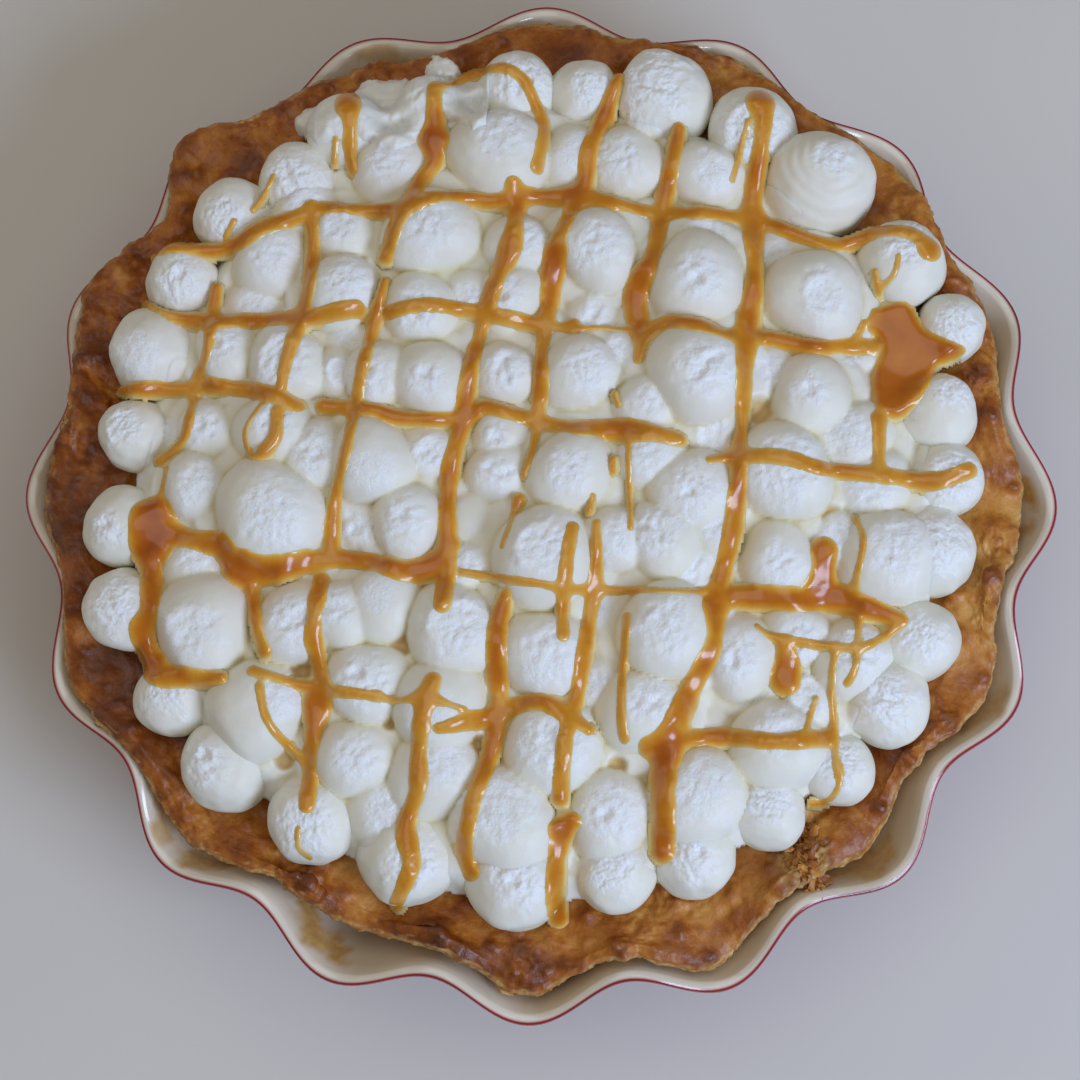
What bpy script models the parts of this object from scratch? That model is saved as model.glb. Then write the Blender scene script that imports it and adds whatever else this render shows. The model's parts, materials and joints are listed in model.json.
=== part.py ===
# Dulce de leche pie in its own ruffled dish: a flaky crust, a caramel filling that shows in the
# gaps, piped whipped cream heaped over the top and a lattice of caramel drizzle on the cream.
# Sizes are in millimetres. The origin is under the middle of the dish, +Z is up, and one crest
# of the ruffle points along +X.
import math

import bmesh
import bpy
from mathutils import Matrix

MM = 0.001
GAP = 0.3
SHARP_ANGLE = 50.0

# ruffled dish
LOBES = 16
RUFFLE_STEPS = LOBES * 6
RIM_RADIUS = 131.5
RIM_HEIGHT = 60.0
RIM_WAVE = 4.5
RIM_DIP = 3.0
FLOOR_TOP = 6.0
FOOT_RECESS = 1.5
DISH_PROFILE = (
    (0.0, FOOT_RECESS), (90.0, FOOT_RECESS), (90.8, 0.0), (97.0, 0.0),
    (108.0, 18.0), (120.0, 41.0), (RIM_RADIUS, RIM_HEIGHT), (129.8, 61.6), (127.5, 60.5),
    (115.3, 40.0), (100.0, 13.0), (89.0, FLOOR_TOP), (0.0, FLOOR_TOP),
)

# crust: its edge is a circle pushed to one side, with the dish's ruffle baked in,
# and places where it swells over the rim or shrinks from the wall: angle, amount, half width
CRUST_RADIUS = 126.4
CRUST_PUSH = 3.7
CRUST_PUSH_ANGLE = 118.0
CRUST_WAVE = 1.8
CRUST_SWELLS = (
    (38, 2.5, 6), (82, -1.5, 6), (108, -6.0, 12), (135, 6.5, 5), (143, -4.0, 4), (154, 2.5, 5),
    (204, 2.5, 8), (247, -5.0, 13), (270, 3.5, 5), (291, 5.0, 6), (322, -2.5, 5), (337, 2.0, 5),
)
SEAT_RADIUS = 98.0
SEAT_HEIGHT = 59.0

# filling
FILLING_STEPS = 32
FILLING_SEAT = 96.5
FILLING_PROFILE = ((0.0, 72.3), (45.0, 71.0), (75.0, 68.5), (92.0, 64.8), (101.0, 61.0))

# whipped cream: every dollop has x, y, diameter and lift
DOLLOP_STEPS = 8
DOLLOP_PROFILE = ((0.80, 0.60), (0.42, 0.90))
LOW_LIMIT = -1.5
LOW_DOLLOP_STEPS = 6
LOW_DOLLOP_PROFILE = ((0.65, 0.76),)
EDGE_MIDDLE = 71.0
MOUND_RISE = 12.0
MOUND_RADIUS = 104.0
DOLLOP_BOTTOM = 57.0
# cream that fills the creases between the dollops, and the gaps in it where the filling shows:
# x, y, diameter
BED_STEPS = 24
BED_RADII = (0.0, 40.0, 70.0, 96.0)
BED_SINK = 2.5
GAPS = (
    (57, 20, 6), (43, 7, 5), (76, -7, 6), (85, -6, 5), (-67, -43, 6), (-58, -48, 6),
    (-33, -42, 6), (-35, -61, 5), (-13, -67, 6), (22, -71, 5), (-62, -71, 6),
)
OUTER_RING = (
    (105, 5, 20, 0), (103, 22, 21, 0), (107, 45, 18, -1), (94, 61, 24, 0), (73, 83, 29, 0),
    (55, 97, 24, 0), (32, 106, 26, 0), (11, 107, 19, 0), (-7, 108, 21, 0), (-29, 102, 19, 0),
    (-51, 95, 22, 0), (-64, 82, 22, 0), (-81, 73, 21, 0), (-94, 55, 20, 0), (-101, 36, 23, 0),
    (-105, 14, 19, 0), (-106, -10, 22, 0), (-105, -32, 22, 0), (-92, -55, 20, 0), (-78, -72, 23, 0),
    (-55, -85, 23, 0), (-31, -94, 25, 0), (-3, -99, 26, 0), (22, -97, 21, 0), (42, -93, 21, 0),
    (60, -81, 20, 0), (78, -70, 19, 0), (90, -53, 23, 0), (98, -37, 22, 0), (102, -14, 23, 0),
)
SECOND_RING = (
    (86, 2, 20, -1), (82, 14, 20, -1), (83, 37, 14, -3), (71, 51, 25, 1), (61, 63, 13, -2),
    (43, 66, 18, -3), (43, 85, 20, 0), (23, 87, 21, -2), (8, 88, 18, -1), (-11, 88, 26, 1),
    (-39, 84, 21, 0), (-62, 74, 20, -1), (-51, 66, 18, 0), (-70, 60, 21, 0), (-74, 49, 16, -3),
    (-80, 35, 18, 0), (-77, 24, 14, -3), (-84, 14, 17, -1), (-96, 13, 12, -3), (-106, 2, 14, -4),
    (-87, -1, 17, 2), (-87, -22, 18, -1), (-84, -37, 27, 1), (-70, -58, 25, 1), (-60, -36, 22, 0),
    (-44, -70, 20, 1), (-36, -82, 22, -2), (-24, -74, 24, 0), (-6, -85, 27, 1), (6, -66, 25, 0),
    (20, -83, 23, 0), (42, -78, 25, 1), (62, -65, 24, 1), (70, -54, 16, -1), (81, -43, 20, 1),
    (66, -37, 18, -1), (57, -53, 14, -4), (90, -17, 26, 1), (77, -13, 18, -2),
)
INNER_DOLLOPS = (
    (62, -18, 19, 0), (63, 4, 25, 1), (70, 24, 21, 1), (60, 31, 15, -2), (41, 29, 25, 3),
    (41, 54, 24, 2), (15, 62, 21, 1), (-5, 63, 18, -1), (-28, 66, 24, 1), (-30, 46, 19, 0),
    (-17, 50, 14, -2), (-7, 49, 18, -2), (14, 46, 14, -4), (-51, 50, 20, 1), (-49, 38, 14, -3),
    (-64, 31, 21, 0), (-51, 29, 15, -2), (-67, 13, 20, 1), (-55, 7, 20, -1), (-67, -8, 28, 1),
    (-40, 28, 18, 0), (-27, 27, 20, 0), (-8, 29, 17, -1), (11, 29, 19, 0), (20, 35, 14, -3),
    (29, 21, 18, -1), (30, 8, 18, 0), (44, 14, 16, -3), (-9, 13, 14, -1), (-27, 8, 16, -2),
    (-41, 5, 22, 1), (-9, 3, 17, -2), (9, 3, 21, 1), (3, -19, 26, 1), (20, -14, 18, 0),
    (40, -1, 22, 0), (33, -14, 20, 0), (46, -11, 16, -1), (38, -20, 18, -3), (34, -37, 24, 2),
    (52, -43, 20, 0), (3, -43, 23, 0), (17, -32, 14, -3), (17, -50, 16, -2), (28, -57, 22, 1),
    (-20, -38, 24, 0), (-17, -22, 14, -1), (-32, -10, 19, 0), (-44, -11, 13, -3), (-48, -34, 18, 1),
    (-37, -31, 19, 0), (-41, -51, 22, 0), (-23, -57, 24, 1),
)
# caramel pools: x, y, radius, lift
POOLS = ((93, 41, 10, 1), (94, 28, 10, 1), (103, 36, 7, 0), (-98, -12, 8, 2), (-75, -21, 6, 2))

# caramel drizzle: width, then the points along each strand
DRIZZLE = (
    # from left to right
    (5.0, ((-102, 59), (-88, 60), (-78, 62), (-66, 68), (-55, 72), (-40, 71), (-26, 75), (-8, 75),
           (10, 75), (32, 71), (52, 70), (66, 66), (76, 63), (90, 67), (100, 61))),
    (5.0, ((-94, 42), (-80, 40), (-66, 40), (-48, 44))),
    (4.0, ((-36, 43), (-20, 43), (-6, 41), (3, 40))),
    (4.5, ((28, 37), (38, 40), (53, 38), (70, 36), (88, 37))),
    (4.5, ((-110, 23), (-98, 23), (-86, 24), (-72, 22), (-62, 19))),
    (5.0, ((-52, 19), (-40, 16), (-20, 15), (-8, 17), (8, 13), (24, 12), (38, 10))),
    (4.5, ((46, 6), (60, 7), (74, 4), (90, 3), (100, 2), (111, 6))),
    (6.5, ((-96, -15), (-80, -17), (-74, -24), (-58, -22), (-42, -22), (-28, -24), (-20, -18))),
    (6.0, ((-98, -16), (-98, -34), (-98, -46), (-90, -50), (-80, -51))),
    (6.0, ((48, -30), (60, -30), (76, -29), (92, -34), (84, -40))),
    (3.5, ((-70, -49), (-54, -54), (-40, -56))),
    (5.0, ((-22, -63), (-6, -60), (2, -57), (13, -61))),
    (5.0, ((30, -67), (46, -65), (62, -65), (76, -64))),
    # from top to bottom
    (5.0, ((-51, 103), (-50, 92), (-49, 83))),
    (4.0, ((-28, 97), (-28, 106), (-16, 111), (-4, 107), (2, 96), (0, 85))),
    (5.0, ((-28, 100), (-28, 88), (-33, 77), (-39, 60))),
    (5.5, ((20, 109), (14, 91), (9, 73), (4, 58), (2, 42), (2, 26), (1, 12))),
    (5.0, ((-6, 74), (-9, 60), (-15, 44), (-18, 26), (-21, 6), (-21, -12), (-22, -30))),
    (5.5, ((36, 96), (34, 80), (31, 64), (27, 48), (26, 34))),
    (5.0, ((57, 104), (56, 86), (56, 66), (55, 46), (54, 26), (53, 6), (51, -14), (47, -30),
           (44, -46), (38, -62))),
    (8.0, ((38, -62), (34, -70), (34, -80), (34, -91))),
    (4.5, ((-40, 52), (-44, 34), (-48, 14), (-51, -4), (-51, -18))),
    (5.5, ((-52, -25), (-55, -38), (-54, -54), (-55, -70), (-56, -82))),
    (5.0, ((-60, 73), (-59, 58), (-62, 42), (-65, 28))),
    (4.0, ((-84, 52), (-86, 36), (-89, 18), (-96, 4), (-97, -8))),
    (4.0, ((-71, -26), (-70, -38), (-67, -45))),
    (5.0, ((-25, -52), (-28, -66), (-29, -80), (-30, -94), (-33, -105))),
    (5.0, ((-8, -32), (-8, -50), (-9, -64), (-14, -80), (-15, -97))),
    (4.0, ((9, -14), (9, -28), (9, -41))),
    (4.5, ((16, -12), (15, -30), (13, -46), (9, -62), (8, -80), (8, -92), (8, -108))),
    (4.0, ((88, 18), (88, 4))),
    (3.5, ((24, -36), (23, -50), (24, -65))),
)
STRAND_STEP = 9.0
CREAM_THINNING = 0.5
ROUGH_GAP = 0.8
FIN_ROUNDS = 3
TOUCH_GAP = 0.05


def clear_scene():
    for item in list(bpy.data.objects):
        bpy.data.objects.remove(item, do_unlink=True)


def make_collection(name):
    collection = bpy.data.collections.new(name)
    bpy.context.scene.collection.children.link(collection)
    return collection


def make_material(name, colour, roughness):
    material = bpy.data.materials.new(name)
    material.use_nodes = True
    shader = material.node_tree.nodes["Principled BSDF"]
    shader.inputs["Base Color"].default_value = (*colour, 1.0)
    shader.inputs["Roughness"].default_value = roughness
    shader.inputs["Metallic"].default_value = 0.0
    return material


def add_object(name, mesh, collection):
    item = bpy.data.objects.new(name, mesh)
    collection.objects.link(item)
    return item


def finish_mesh(shape, name):
    bmesh.ops.recalc_face_normals(shape, faces=shape.faces)
    mesh = bpy.data.meshes.new(name)
    shape.to_mesh(mesh)
    shape.free()
    return mesh


def shade_round(mesh, sharp_angle):
    mesh.shade_smooth()
    mesh.set_sharp_from_angle(angle=math.radians(sharp_angle))


def turned_mesh(name, profile, steps, place=None):
    """Turns a profile about Z, then moves each corner by place(angle, row, radius, height)."""
    shape = bmesh.new()
    row_layer = shape.verts.layers.int.new("row")
    corners = []
    for row, (radius, height) in enumerate(profile):
        corner = shape.verts.new((radius, 0.0, height))
        corner[row_layer] = row
        corners.append(corner)
    edges = [shape.edges.new(pair) for pair in zip(corners, corners[1:])]
    bmesh.ops.spin(shape, geom=corners + edges, axis=(0, 0, 1), cent=(0, 0, 0),
                   angle=math.tau, steps=steps, use_merge=True)
    bmesh.ops.remove_doubles(shape, verts=shape.verts, dist=0.001)
    for corner in shape.verts:
        radius = math.hypot(corner.co.x, corner.co.y)
        angle = math.atan2(corner.co.y, corner.co.x)
        height = corner.co.z
        if place and radius > 0.01:
            radius, height = place(angle, corner[row_layer], radius, height)
        corner.co = (radius * math.cos(angle) * MM, radius * math.sin(angle) * MM, height * MM)
    return finish_mesh(shape, name)


def ruffle(angle):
    return math.cos(LOBES * angle)


def rim_line(angle):
    """Height of the dish's outer edge: crests of the ruffle dip, troughs rise."""
    return RIM_HEIGHT - RIM_DIP * ruffle(angle)


def fluting(height):
    return min(1.0, max(0.0, (height - FLOOR_TOP) / (RIM_HEIGHT - FLOOR_TOP)))


def dish_place(angle, row, radius, height):
    depth = fluting(height)
    radius += RIM_WAVE * depth * ruffle(angle)
    height -= RIM_DIP * depth ** 3 * ruffle(angle)
    return radius, height


def dish_inside(angle, height):
    """Radius of the dish's inner wall."""
    inner_wall = ((FLOOR_TOP, 89.0), (13.0, 100.0), (40.0, 115.3), (60.5, 127.5))
    height += RIM_DIP * fluting(height) ** 3 * ruffle(angle)
    for (low, small), (high, large) in zip(inner_wall, inner_wall[1:]):
        if height <= high:
            break
    radius = small + (large - small) * (height - low) / (high - low)
    return radius + RIM_WAVE * fluting(height) * ruffle(angle)


def crust_edge(angle):
    degrees = math.degrees(angle) % 360.0
    radius = CRUST_RADIUS + CRUST_PUSH * math.cos(math.radians(degrees - CRUST_PUSH_ANGLE))
    radius += CRUST_WAVE * ruffle(angle)
    for centre, amount, half_width in CRUST_SWELLS:
        radius += amount * math.exp(-((degrees - centre) / half_width) ** 2)
    return radius


def crust_rows(lift=0.0):
    """Rows of the crust from the middle of its underside to the middle of its seat."""
    wall_gap = 1.2

    def wall(height):
        return lambda angle: (min(dish_inside(angle, height) - wall_gap, crust_edge(angle) - 1.5), height)

    def under_lip(angle):
        inside = dish_inside(angle, RIM_HEIGHT) - wall_gap
        return min(crust_edge(angle) - 1.0, inside), rim_line(angle) + 2.4

    return (
        lambda angle: (0.0, FLOOR_TOP + GAP),
        lambda angle: (88.0, FLOOR_TOP + GAP),
        wall(14.0),
        wall(40.0),
        wall(54.0),
        under_lip,
        lambda angle: (crust_edge(angle), rim_line(angle) + 3.2),
        lambda angle: (crust_edge(angle) - 0.8, rim_line(angle) + 5.0 + lift),
        lambda angle: (crust_edge(angle) - 4.0, rim_line(angle) + 6.2 + lift),
        lambda angle: (115.5, 65.0 - ruffle(angle) + lift),
        lambda angle: (108.0, 62.0 + lift),
        lambda angle: (SEAT_RADIUS, SEAT_HEIGHT + lift),
        lambda angle: (0.0, SEAT_HEIGHT + lift),
    )


def under_crust_top(gap):
    """Rows of the cutter that takes away all cream below the crust's top."""
    outside = (
        lambda angle: (0.0, 40.0),
        lambda angle: (145.0, 40.0),
        lambda angle: (145.0, rim_line(angle) + 5.0 + gap),
    )
    return outside + crust_rows(gap)[-6:]


def crust_mesh(name, rows):
    profile = [row(0.0) for row in rows]
    return turned_mesh(name, profile, RUFFLE_STEPS, lambda angle, row, radius, height: rows[row](angle))


def all_dollops():
    return OUTER_RING + SECOND_RING + INNER_DOLLOPS


def middle_height(x, y, lift):
    """Height of a dollop's widest ring: the heap is highest in the middle of the pie."""
    spread = min(1.0, (x * x + y * y) / MOUND_RADIUS ** 2)
    return EDGE_MIDDLE + MOUND_RISE * (1.0 - spread) + lift


def cream_top(x, y):
    """Height of the heap's surface, for laying the drizzle on it."""
    top = EDGE_MIDDLE - 4.0
    for centre_x, centre_y, diameter, lift in all_dollops():
        radius = diameter / 2
        reach = math.hypot(x - centre_x, y - centre_y) / radius
        if reach < 1.0:
            crown = 0.97 * radius * math.sqrt(1.0 - reach * reach)
            top = max(top, middle_height(centre_x, centre_y, lift) + crown)
    return top


def dollop_mesh(x, y, diameter, lift):
    radius = diameter / 2
    middle = middle_height(x, y, lift)
    low = lift < LOW_LIMIT
    profile = [(0.0, DOLLOP_BOTTOM), (0.97 * radius, DOLLOP_BOTTOM), (radius, middle)]
    for share, rise in LOW_DOLLOP_PROFILE if low else DOLLOP_PROFILE:
        profile.append((share * radius, middle + rise * radius))
    profile.append((0.0, middle + radius))
    mesh = turned_mesh("dollop", profile, LOW_DOLLOP_STEPS if low else DOLLOP_STEPS)
    turn = math.radians(x * 7 + y * 13)
    for corner in mesh.vertices:
        across = corner.co.x * math.cos(turn) - corner.co.y * math.sin(turn)
        along = corner.co.x * math.sin(turn) + corner.co.y * math.cos(turn)
        corner.co.x = across + x * MM
        corner.co.y = along + y * MM
    return mesh


def bed_mesh():
    """Cream under and between the dollops, a little below their widest rings."""
    profile = [(0.0, DOLLOP_BOTTOM), (BED_RADII[-1], DOLLOP_BOTTOM)]
    profile += [(radius, middle_height(radius, 0.0, -BED_SINK)) for radius in reversed(BED_RADII)]
    return turned_mesh("bed", profile, BED_STEPS)


def gap_cutter(x, y, diameter):
    shape = bmesh.new()
    bmesh.ops.create_cone(shape, cap_ends=True, segments=6, radius1=diameter / 2 * MM,
                          radius2=diameter / 2 * MM, depth=60 * MM,
                          matrix=Matrix.Translation((x * MM, y * MM, 75 * MM)))
    return add_cutter(finish_mesh(shape, "gap_cutter"))


def pool_mesh(x, y, radius, lift):
    shape = bmesh.new()
    bmesh.ops.create_uvsphere(shape, u_segments=10, v_segments=5, radius=radius * MM)
    height = middle_height(x, y, lift)
    for corner in shape.verts:
        corner.co.z = corner.co.z * 0.8 + height * MM
        corner.co.x += x * MM
        corner.co.y += y * MM
    return finish_mesh(shape, "pool")


def laid_path(points):
    """Points every STRAND_STEP along the route, dropped on the cream, sagging over creases."""
    flat = []
    for (x1, y1), (x2, y2) in zip(points, points[1:]):
        count = max(1, round(math.hypot(x2 - x1, y2 - y1) / STRAND_STEP))
        for step in range(count):
            share = step / count
            flat.append((x1 + (x2 - x1) * share, y1 + (y2 - y1) * share))
    flat.append(points[-1])
    heights = [max(cream_top(x + dx, y + dy) for dx, dy in ((0, 0), (1.5, 0), (-1.5, 0), (0, 1.5), (0, -1.5)))
               for x, y in flat]
    for index in range(1, len(flat) - 1):
        bridge = (heights[index - 1] + heights[index + 1]) / 2 - 3.0
        heights[index] = max(heights[index], bridge)
    return [(x, y, height) for (x, y), height in zip(flat, heights)]


def strand_mesh(width, points, section, collection):
    curve = bpy.data.curves.new("strand", "CURVE")
    curve.dimensions = "3D"
    curve.twist_mode = "Z_UP"
    curve.bevel_mode = "OBJECT"
    curve.bevel_object = section
    curve.use_fill_caps = True
    path = laid_path(points)
    spline = curve.splines.new("POLY")
    spline.points.add(len(path) - 1)
    for point, (x, y, z) in zip(spline.points, path):
        point.co = (x * MM, y * MM, z * MM, 1.0)
        point.radius = width / 2
    item = add_object("strand", curve, collection)
    bpy.context.view_layer.update()
    shaped = item.evaluated_get(bpy.context.evaluated_depsgraph_get())
    mesh = bpy.data.meshes.new_from_object(shaped)
    bpy.data.objects.remove(item)
    shape = bmesh.new()
    shape.from_mesh(mesh)
    bmesh.ops.remove_doubles(shape, verts=shape.verts, dist=0.01 * MM)
    return finish_mesh(shape, "strand")


def strand_section(collection):
    """Flat lozenge that a strand is swept with, for a width of two."""
    curve = bpy.data.curves.new("strand_section", "CURVE")
    curve.dimensions = "2D"
    spline = curve.splines.new("POLY")
    outline = ((1.0, 0.0), (0.0, 0.55), (-1.0, 0.0), (0.0, -0.55))
    spline.points.add(len(outline) - 1)
    for point, (across, up) in zip(spline.points, outline):
        point.co = (across * MM, up * MM, 0.0, 1.0)
    spline.use_cyclic_u = True
    return add_object("strand_section", curve, collection)


def add_boolean(item, operation, target=None, collection=None):
    modifier = item.modifiers.new(operation.lower(), "BOOLEAN")
    modifier.operation = operation
    modifier.solver = "MANIFOLD"
    if collection:
        modifier.operand_type = "COLLECTION"
        modifier.collection = collection
    else:
        modifier.object = target


def add_cutter(mesh):
    cutter = add_object(mesh.name, mesh, cutters)
    cutter.hide_render = True
    cutter.display_type = "WIRE"
    return cutter


def remove_all(collection):
    for item in list(collection.objects):
        bpy.data.objects.remove(item)


def bake(item):
    """Replaces an object's mesh with its evaluated shape."""
    bpy.context.view_layer.update()
    shaped = item.evaluated_get(bpy.context.evaluated_depsgraph_get())
    mesh = bpy.data.meshes.new_from_object(shaped)
    item.modifiers.clear()
    item.data = mesh


def drop_fins(item):
    """Takes off triangles that hang on the closed surface by one edge."""
    shape = bmesh.new()
    shape.from_mesh(item.data)
    bmesh.ops.triangulate(shape, faces=shape.faces)
    for _ in range(FIN_ROUNDS):
        fins = [face for face in shape.faces if any(edge.is_boundary for edge in face.edges)]
        bmesh.ops.delete(shape, geom=fins, context="FACES")
    item.data = finish_mesh(shape, item.name)


def part_touching_corners(item):
    """Moves corners of two surfaces that meet at one point a hair apart: hills sink, hollows rise."""
    shape = bmesh.new()
    shape.from_mesh(item.data)
    shape.normal_update()
    places = {}
    for corner in shape.verts:
        places.setdefault(tuple(round(value / MM, 3) for value in corner.co), []).append(corner)
    for corners in places.values():
        if len(corners) > 1:
            for corner in corners:
                centres = [face.calc_center_median() - corner.co for face in corner.link_faces]
                leaning = sum(centre.dot(corner.normal) for centre in centres)
                corner.co += corner.normal * math.copysign(TOUCH_GAP * MM, leaning)
    item.data = finish_mesh(shape, item.name)


def trim_underside(cream, gap):
    """Cuts the cream clear of the filling's dome and of the crust's top."""
    dome = [(0.0, 40.0), (110.0, 40.0)]
    dome += [(radius, height + gap) for radius, height in reversed(FILLING_PROFILE)]
    meshes = (
        turned_mesh("filling_cutter", dome, FILLING_STEPS),
        crust_mesh("crust_cutter", under_crust_top(gap)),
    )
    for mesh in meshes:
        add_boolean(cream, "DIFFERENCE", target=add_cutter(mesh))
    bake(cream)
    remove_all(cutters)


clear_scene()
pie = make_collection("dulce_de_leche_pie")
cutters = make_collection("cutters")
toppings = make_collection("toppings")

dish = add_object("dish", turned_mesh("dish", DISH_PROFILE, RUFFLE_STEPS, dish_place), pie)
dish.data.materials.append(make_material("cream glazed stoneware", (0.72, 0.68, 0.60), 0.2))

crust = add_object("crust", crust_mesh("crust", crust_rows()), pie)
crust.data.materials.append(make_material("baked golden crust", (0.42, 0.18, 0.06), 0.45))

filling_base = [(0.0, SEAT_HEIGHT + GAP), (FILLING_SEAT, SEAT_HEIGHT + GAP)]
filling_profile = filling_base + list(reversed(FILLING_PROFILE))
filling = add_object("filling", turned_mesh("filling", filling_profile, FILLING_STEPS), pie)
filling.data.materials.append(make_material("dulce de leche", (0.45, 0.28, 0.12), 0.4))

for dollop in all_dollops():
    add_object("dollop", dollop_mesh(*dollop), toppings)
for pool in POOLS:
    add_object("pool", pool_mesh(*pool), toppings)
lozenge = strand_section(cutters)
for width, points in DRIZZLE:
    add_object("strand", strand_mesh(width, points, lozenge, cutters), toppings)
bpy.data.objects.remove(lozenge)

cream = add_object("whipped_cream", bed_mesh(), pie)
for gap in GAPS:
    gap_cutter(*gap)
add_boolean(cream, "DIFFERENCE", collection=cutters)
add_boolean(cream, "UNION", collection=toppings)
bake(cream)
remove_all(cutters)
remove_all(toppings)

trim_underside(cream, ROUGH_GAP)
thinning = cream.modifiers.new("thinning", "DECIMATE")
thinning.ratio = CREAM_THINNING
bake(cream)
drop_fins(cream)
trim_underside(cream, GAP)
part_touching_corners(cream)
cream.data.materials.clear()
cream.data.materials.append(make_material("whipped cream", (0.88, 0.87, 0.82), 0.5))

for piece in (dish, crust, filling, cream):
    shade_round(piece.data, SHARP_ANGLE)
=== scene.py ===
import json
import math
import random

import bmesh
import bpy
import numpy as np
from mathutils import Matrix, Vector, noise
from mathutils.bvhtree import BVHTree

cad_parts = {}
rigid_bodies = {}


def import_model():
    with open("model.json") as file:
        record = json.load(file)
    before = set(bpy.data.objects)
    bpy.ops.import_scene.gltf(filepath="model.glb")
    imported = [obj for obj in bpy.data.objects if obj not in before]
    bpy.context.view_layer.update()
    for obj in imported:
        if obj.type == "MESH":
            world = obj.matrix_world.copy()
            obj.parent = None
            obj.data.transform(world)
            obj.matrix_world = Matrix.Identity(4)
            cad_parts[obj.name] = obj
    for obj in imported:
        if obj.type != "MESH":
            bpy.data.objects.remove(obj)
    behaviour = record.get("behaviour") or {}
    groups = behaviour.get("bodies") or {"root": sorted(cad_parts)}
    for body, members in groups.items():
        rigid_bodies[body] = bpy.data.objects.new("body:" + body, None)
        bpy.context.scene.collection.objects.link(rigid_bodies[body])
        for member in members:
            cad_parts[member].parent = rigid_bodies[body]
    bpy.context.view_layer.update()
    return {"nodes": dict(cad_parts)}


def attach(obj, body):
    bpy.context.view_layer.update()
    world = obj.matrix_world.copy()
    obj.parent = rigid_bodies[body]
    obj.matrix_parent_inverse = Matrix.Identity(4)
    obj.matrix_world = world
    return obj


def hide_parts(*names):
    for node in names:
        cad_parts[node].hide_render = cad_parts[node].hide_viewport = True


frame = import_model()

mm = 0.001
print("frame:", ", ".join(sorted(frame["nodes"])))


def linear(hexColour):
    channels = [int(hexColour[place:place + 2], 16) / 255 for place in (1, 3, 5)]
    return tuple(c / 12.92 if c <= 0.04045 else ((c + 0.055) / 1.055) ** 2.4 for c in channels) + (1.0,)


def smoothStep(low, high, value):
    share = min(1.0, max(0.0, (value - low) / (high - low)))
    return share * share * (3.0 - 2.0 * share)


def ripple(x, y, z):
    return noise.noise(Vector((x, y, z)))


def wobble(x, y, z, size, seed=0.0):
    return ripple(x / size + seed, y / size - seed, z / size + 0.37 * seed)


def addNode(tree, kind, inputs=None, stops=(), **settings):
    # a node given as an input is joined by its main output, which is the third one of an
    # Attribute and of a Mix of colours, and else the first
    node = tree.nodes.new("ShaderNode" + kind)
    for name, value in settings.items():
        setattr(node, name, value)
    for socket, value in (inputs or {}).items():
        if isinstance(value, bpy.types.Node):
            third = value.type == "ATTRIBUTE" or getattr(value, "data_type", "") == "RGBA"
            value = value.outputs[2 if third else 0]
        if isinstance(value, bpy.types.NodeSocket):
            tree.links.new(value, node.inputs[socket])
        else:
            node.inputs[socket].default_value = value
    if stops:
        elements = node.color_ramp.elements
        elements.remove(elements[1])
        for number, (place, colour) in enumerate(stops):
            element = elements.new(place) if number else elements[0]
            element.position, element.color = place, linear(colour)
    return node


def newFinish(name):
    material = bpy.data.materials.new(name)
    material.use_nodes = True
    tree = material.node_tree
    tree.nodes.clear()
    return material, tree, addNode(tree, "TexCoord").outputs["Object"]


def finished(material, inputs):
    shader = addNode(material.node_tree, "BsdfPrincipled", inputs)
    addNode(material.node_tree, "OutputMaterial", {"Surface": shader})
    return material


def meshFrom(shape, name):
    mesh = bpy.data.meshes.new(name)
    shape.to_mesh(mesh)
    shape.free()
    return mesh


def newObject(name, data, collection=None):
    item = bpy.data.objects.new(name, data)
    (collection or bpy.context.scene.collection).objects.link(item)
    return item


def placePiece(name, shape, finish, node):
    mesh = shape if isinstance(shape, bpy.types.Mesh) else meshFrom(shape, name)
    mesh.materials.clear()
    mesh.materials.append(finish)
    mesh.shade_smooth()
    piece = newObject(name, mesh)
    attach(piece, "root")
    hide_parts(node)
    print("piece", name, len(mesh.polygons), "faces")
    return piece


def storeValues(mesh, name, values):
    layer = mesh.attributes.new(name, "FLOAT", "POINT")
    layer.data.foreach_set("value", np.asarray(values, dtype=np.float32))


def cornerPlaces(mesh):
    places = np.empty(len(mesh.vertices) * 3, dtype=np.float32)
    mesh.vertices.foreach_get("co", places)
    return places.reshape(-1, 3)


def meshesTree(pieces):
    corners, faces = [], []
    for mesh in (piece.data for piece in pieces):
        mesh.calc_loop_triangles()
        sides = np.empty(len(mesh.loop_triangles) * 3, dtype=np.int32)
        mesh.loop_triangles.foreach_get("vertices", sides)
        faces += (sides.reshape(-1, 3) + len(corners)).tolist()
        corners += cornerPlaces(mesh).tolist()
    return BVHTree.FromPolygons(corners, faces, all_triangles=True)


def dropOnto(tree, x, y):
    # what a plumb line from above meets first: its place and its normal
    return tree.ray_cast(Vector((x, y, 150)) * mm, Vector((0, 0, -1)))[:2]


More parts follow.
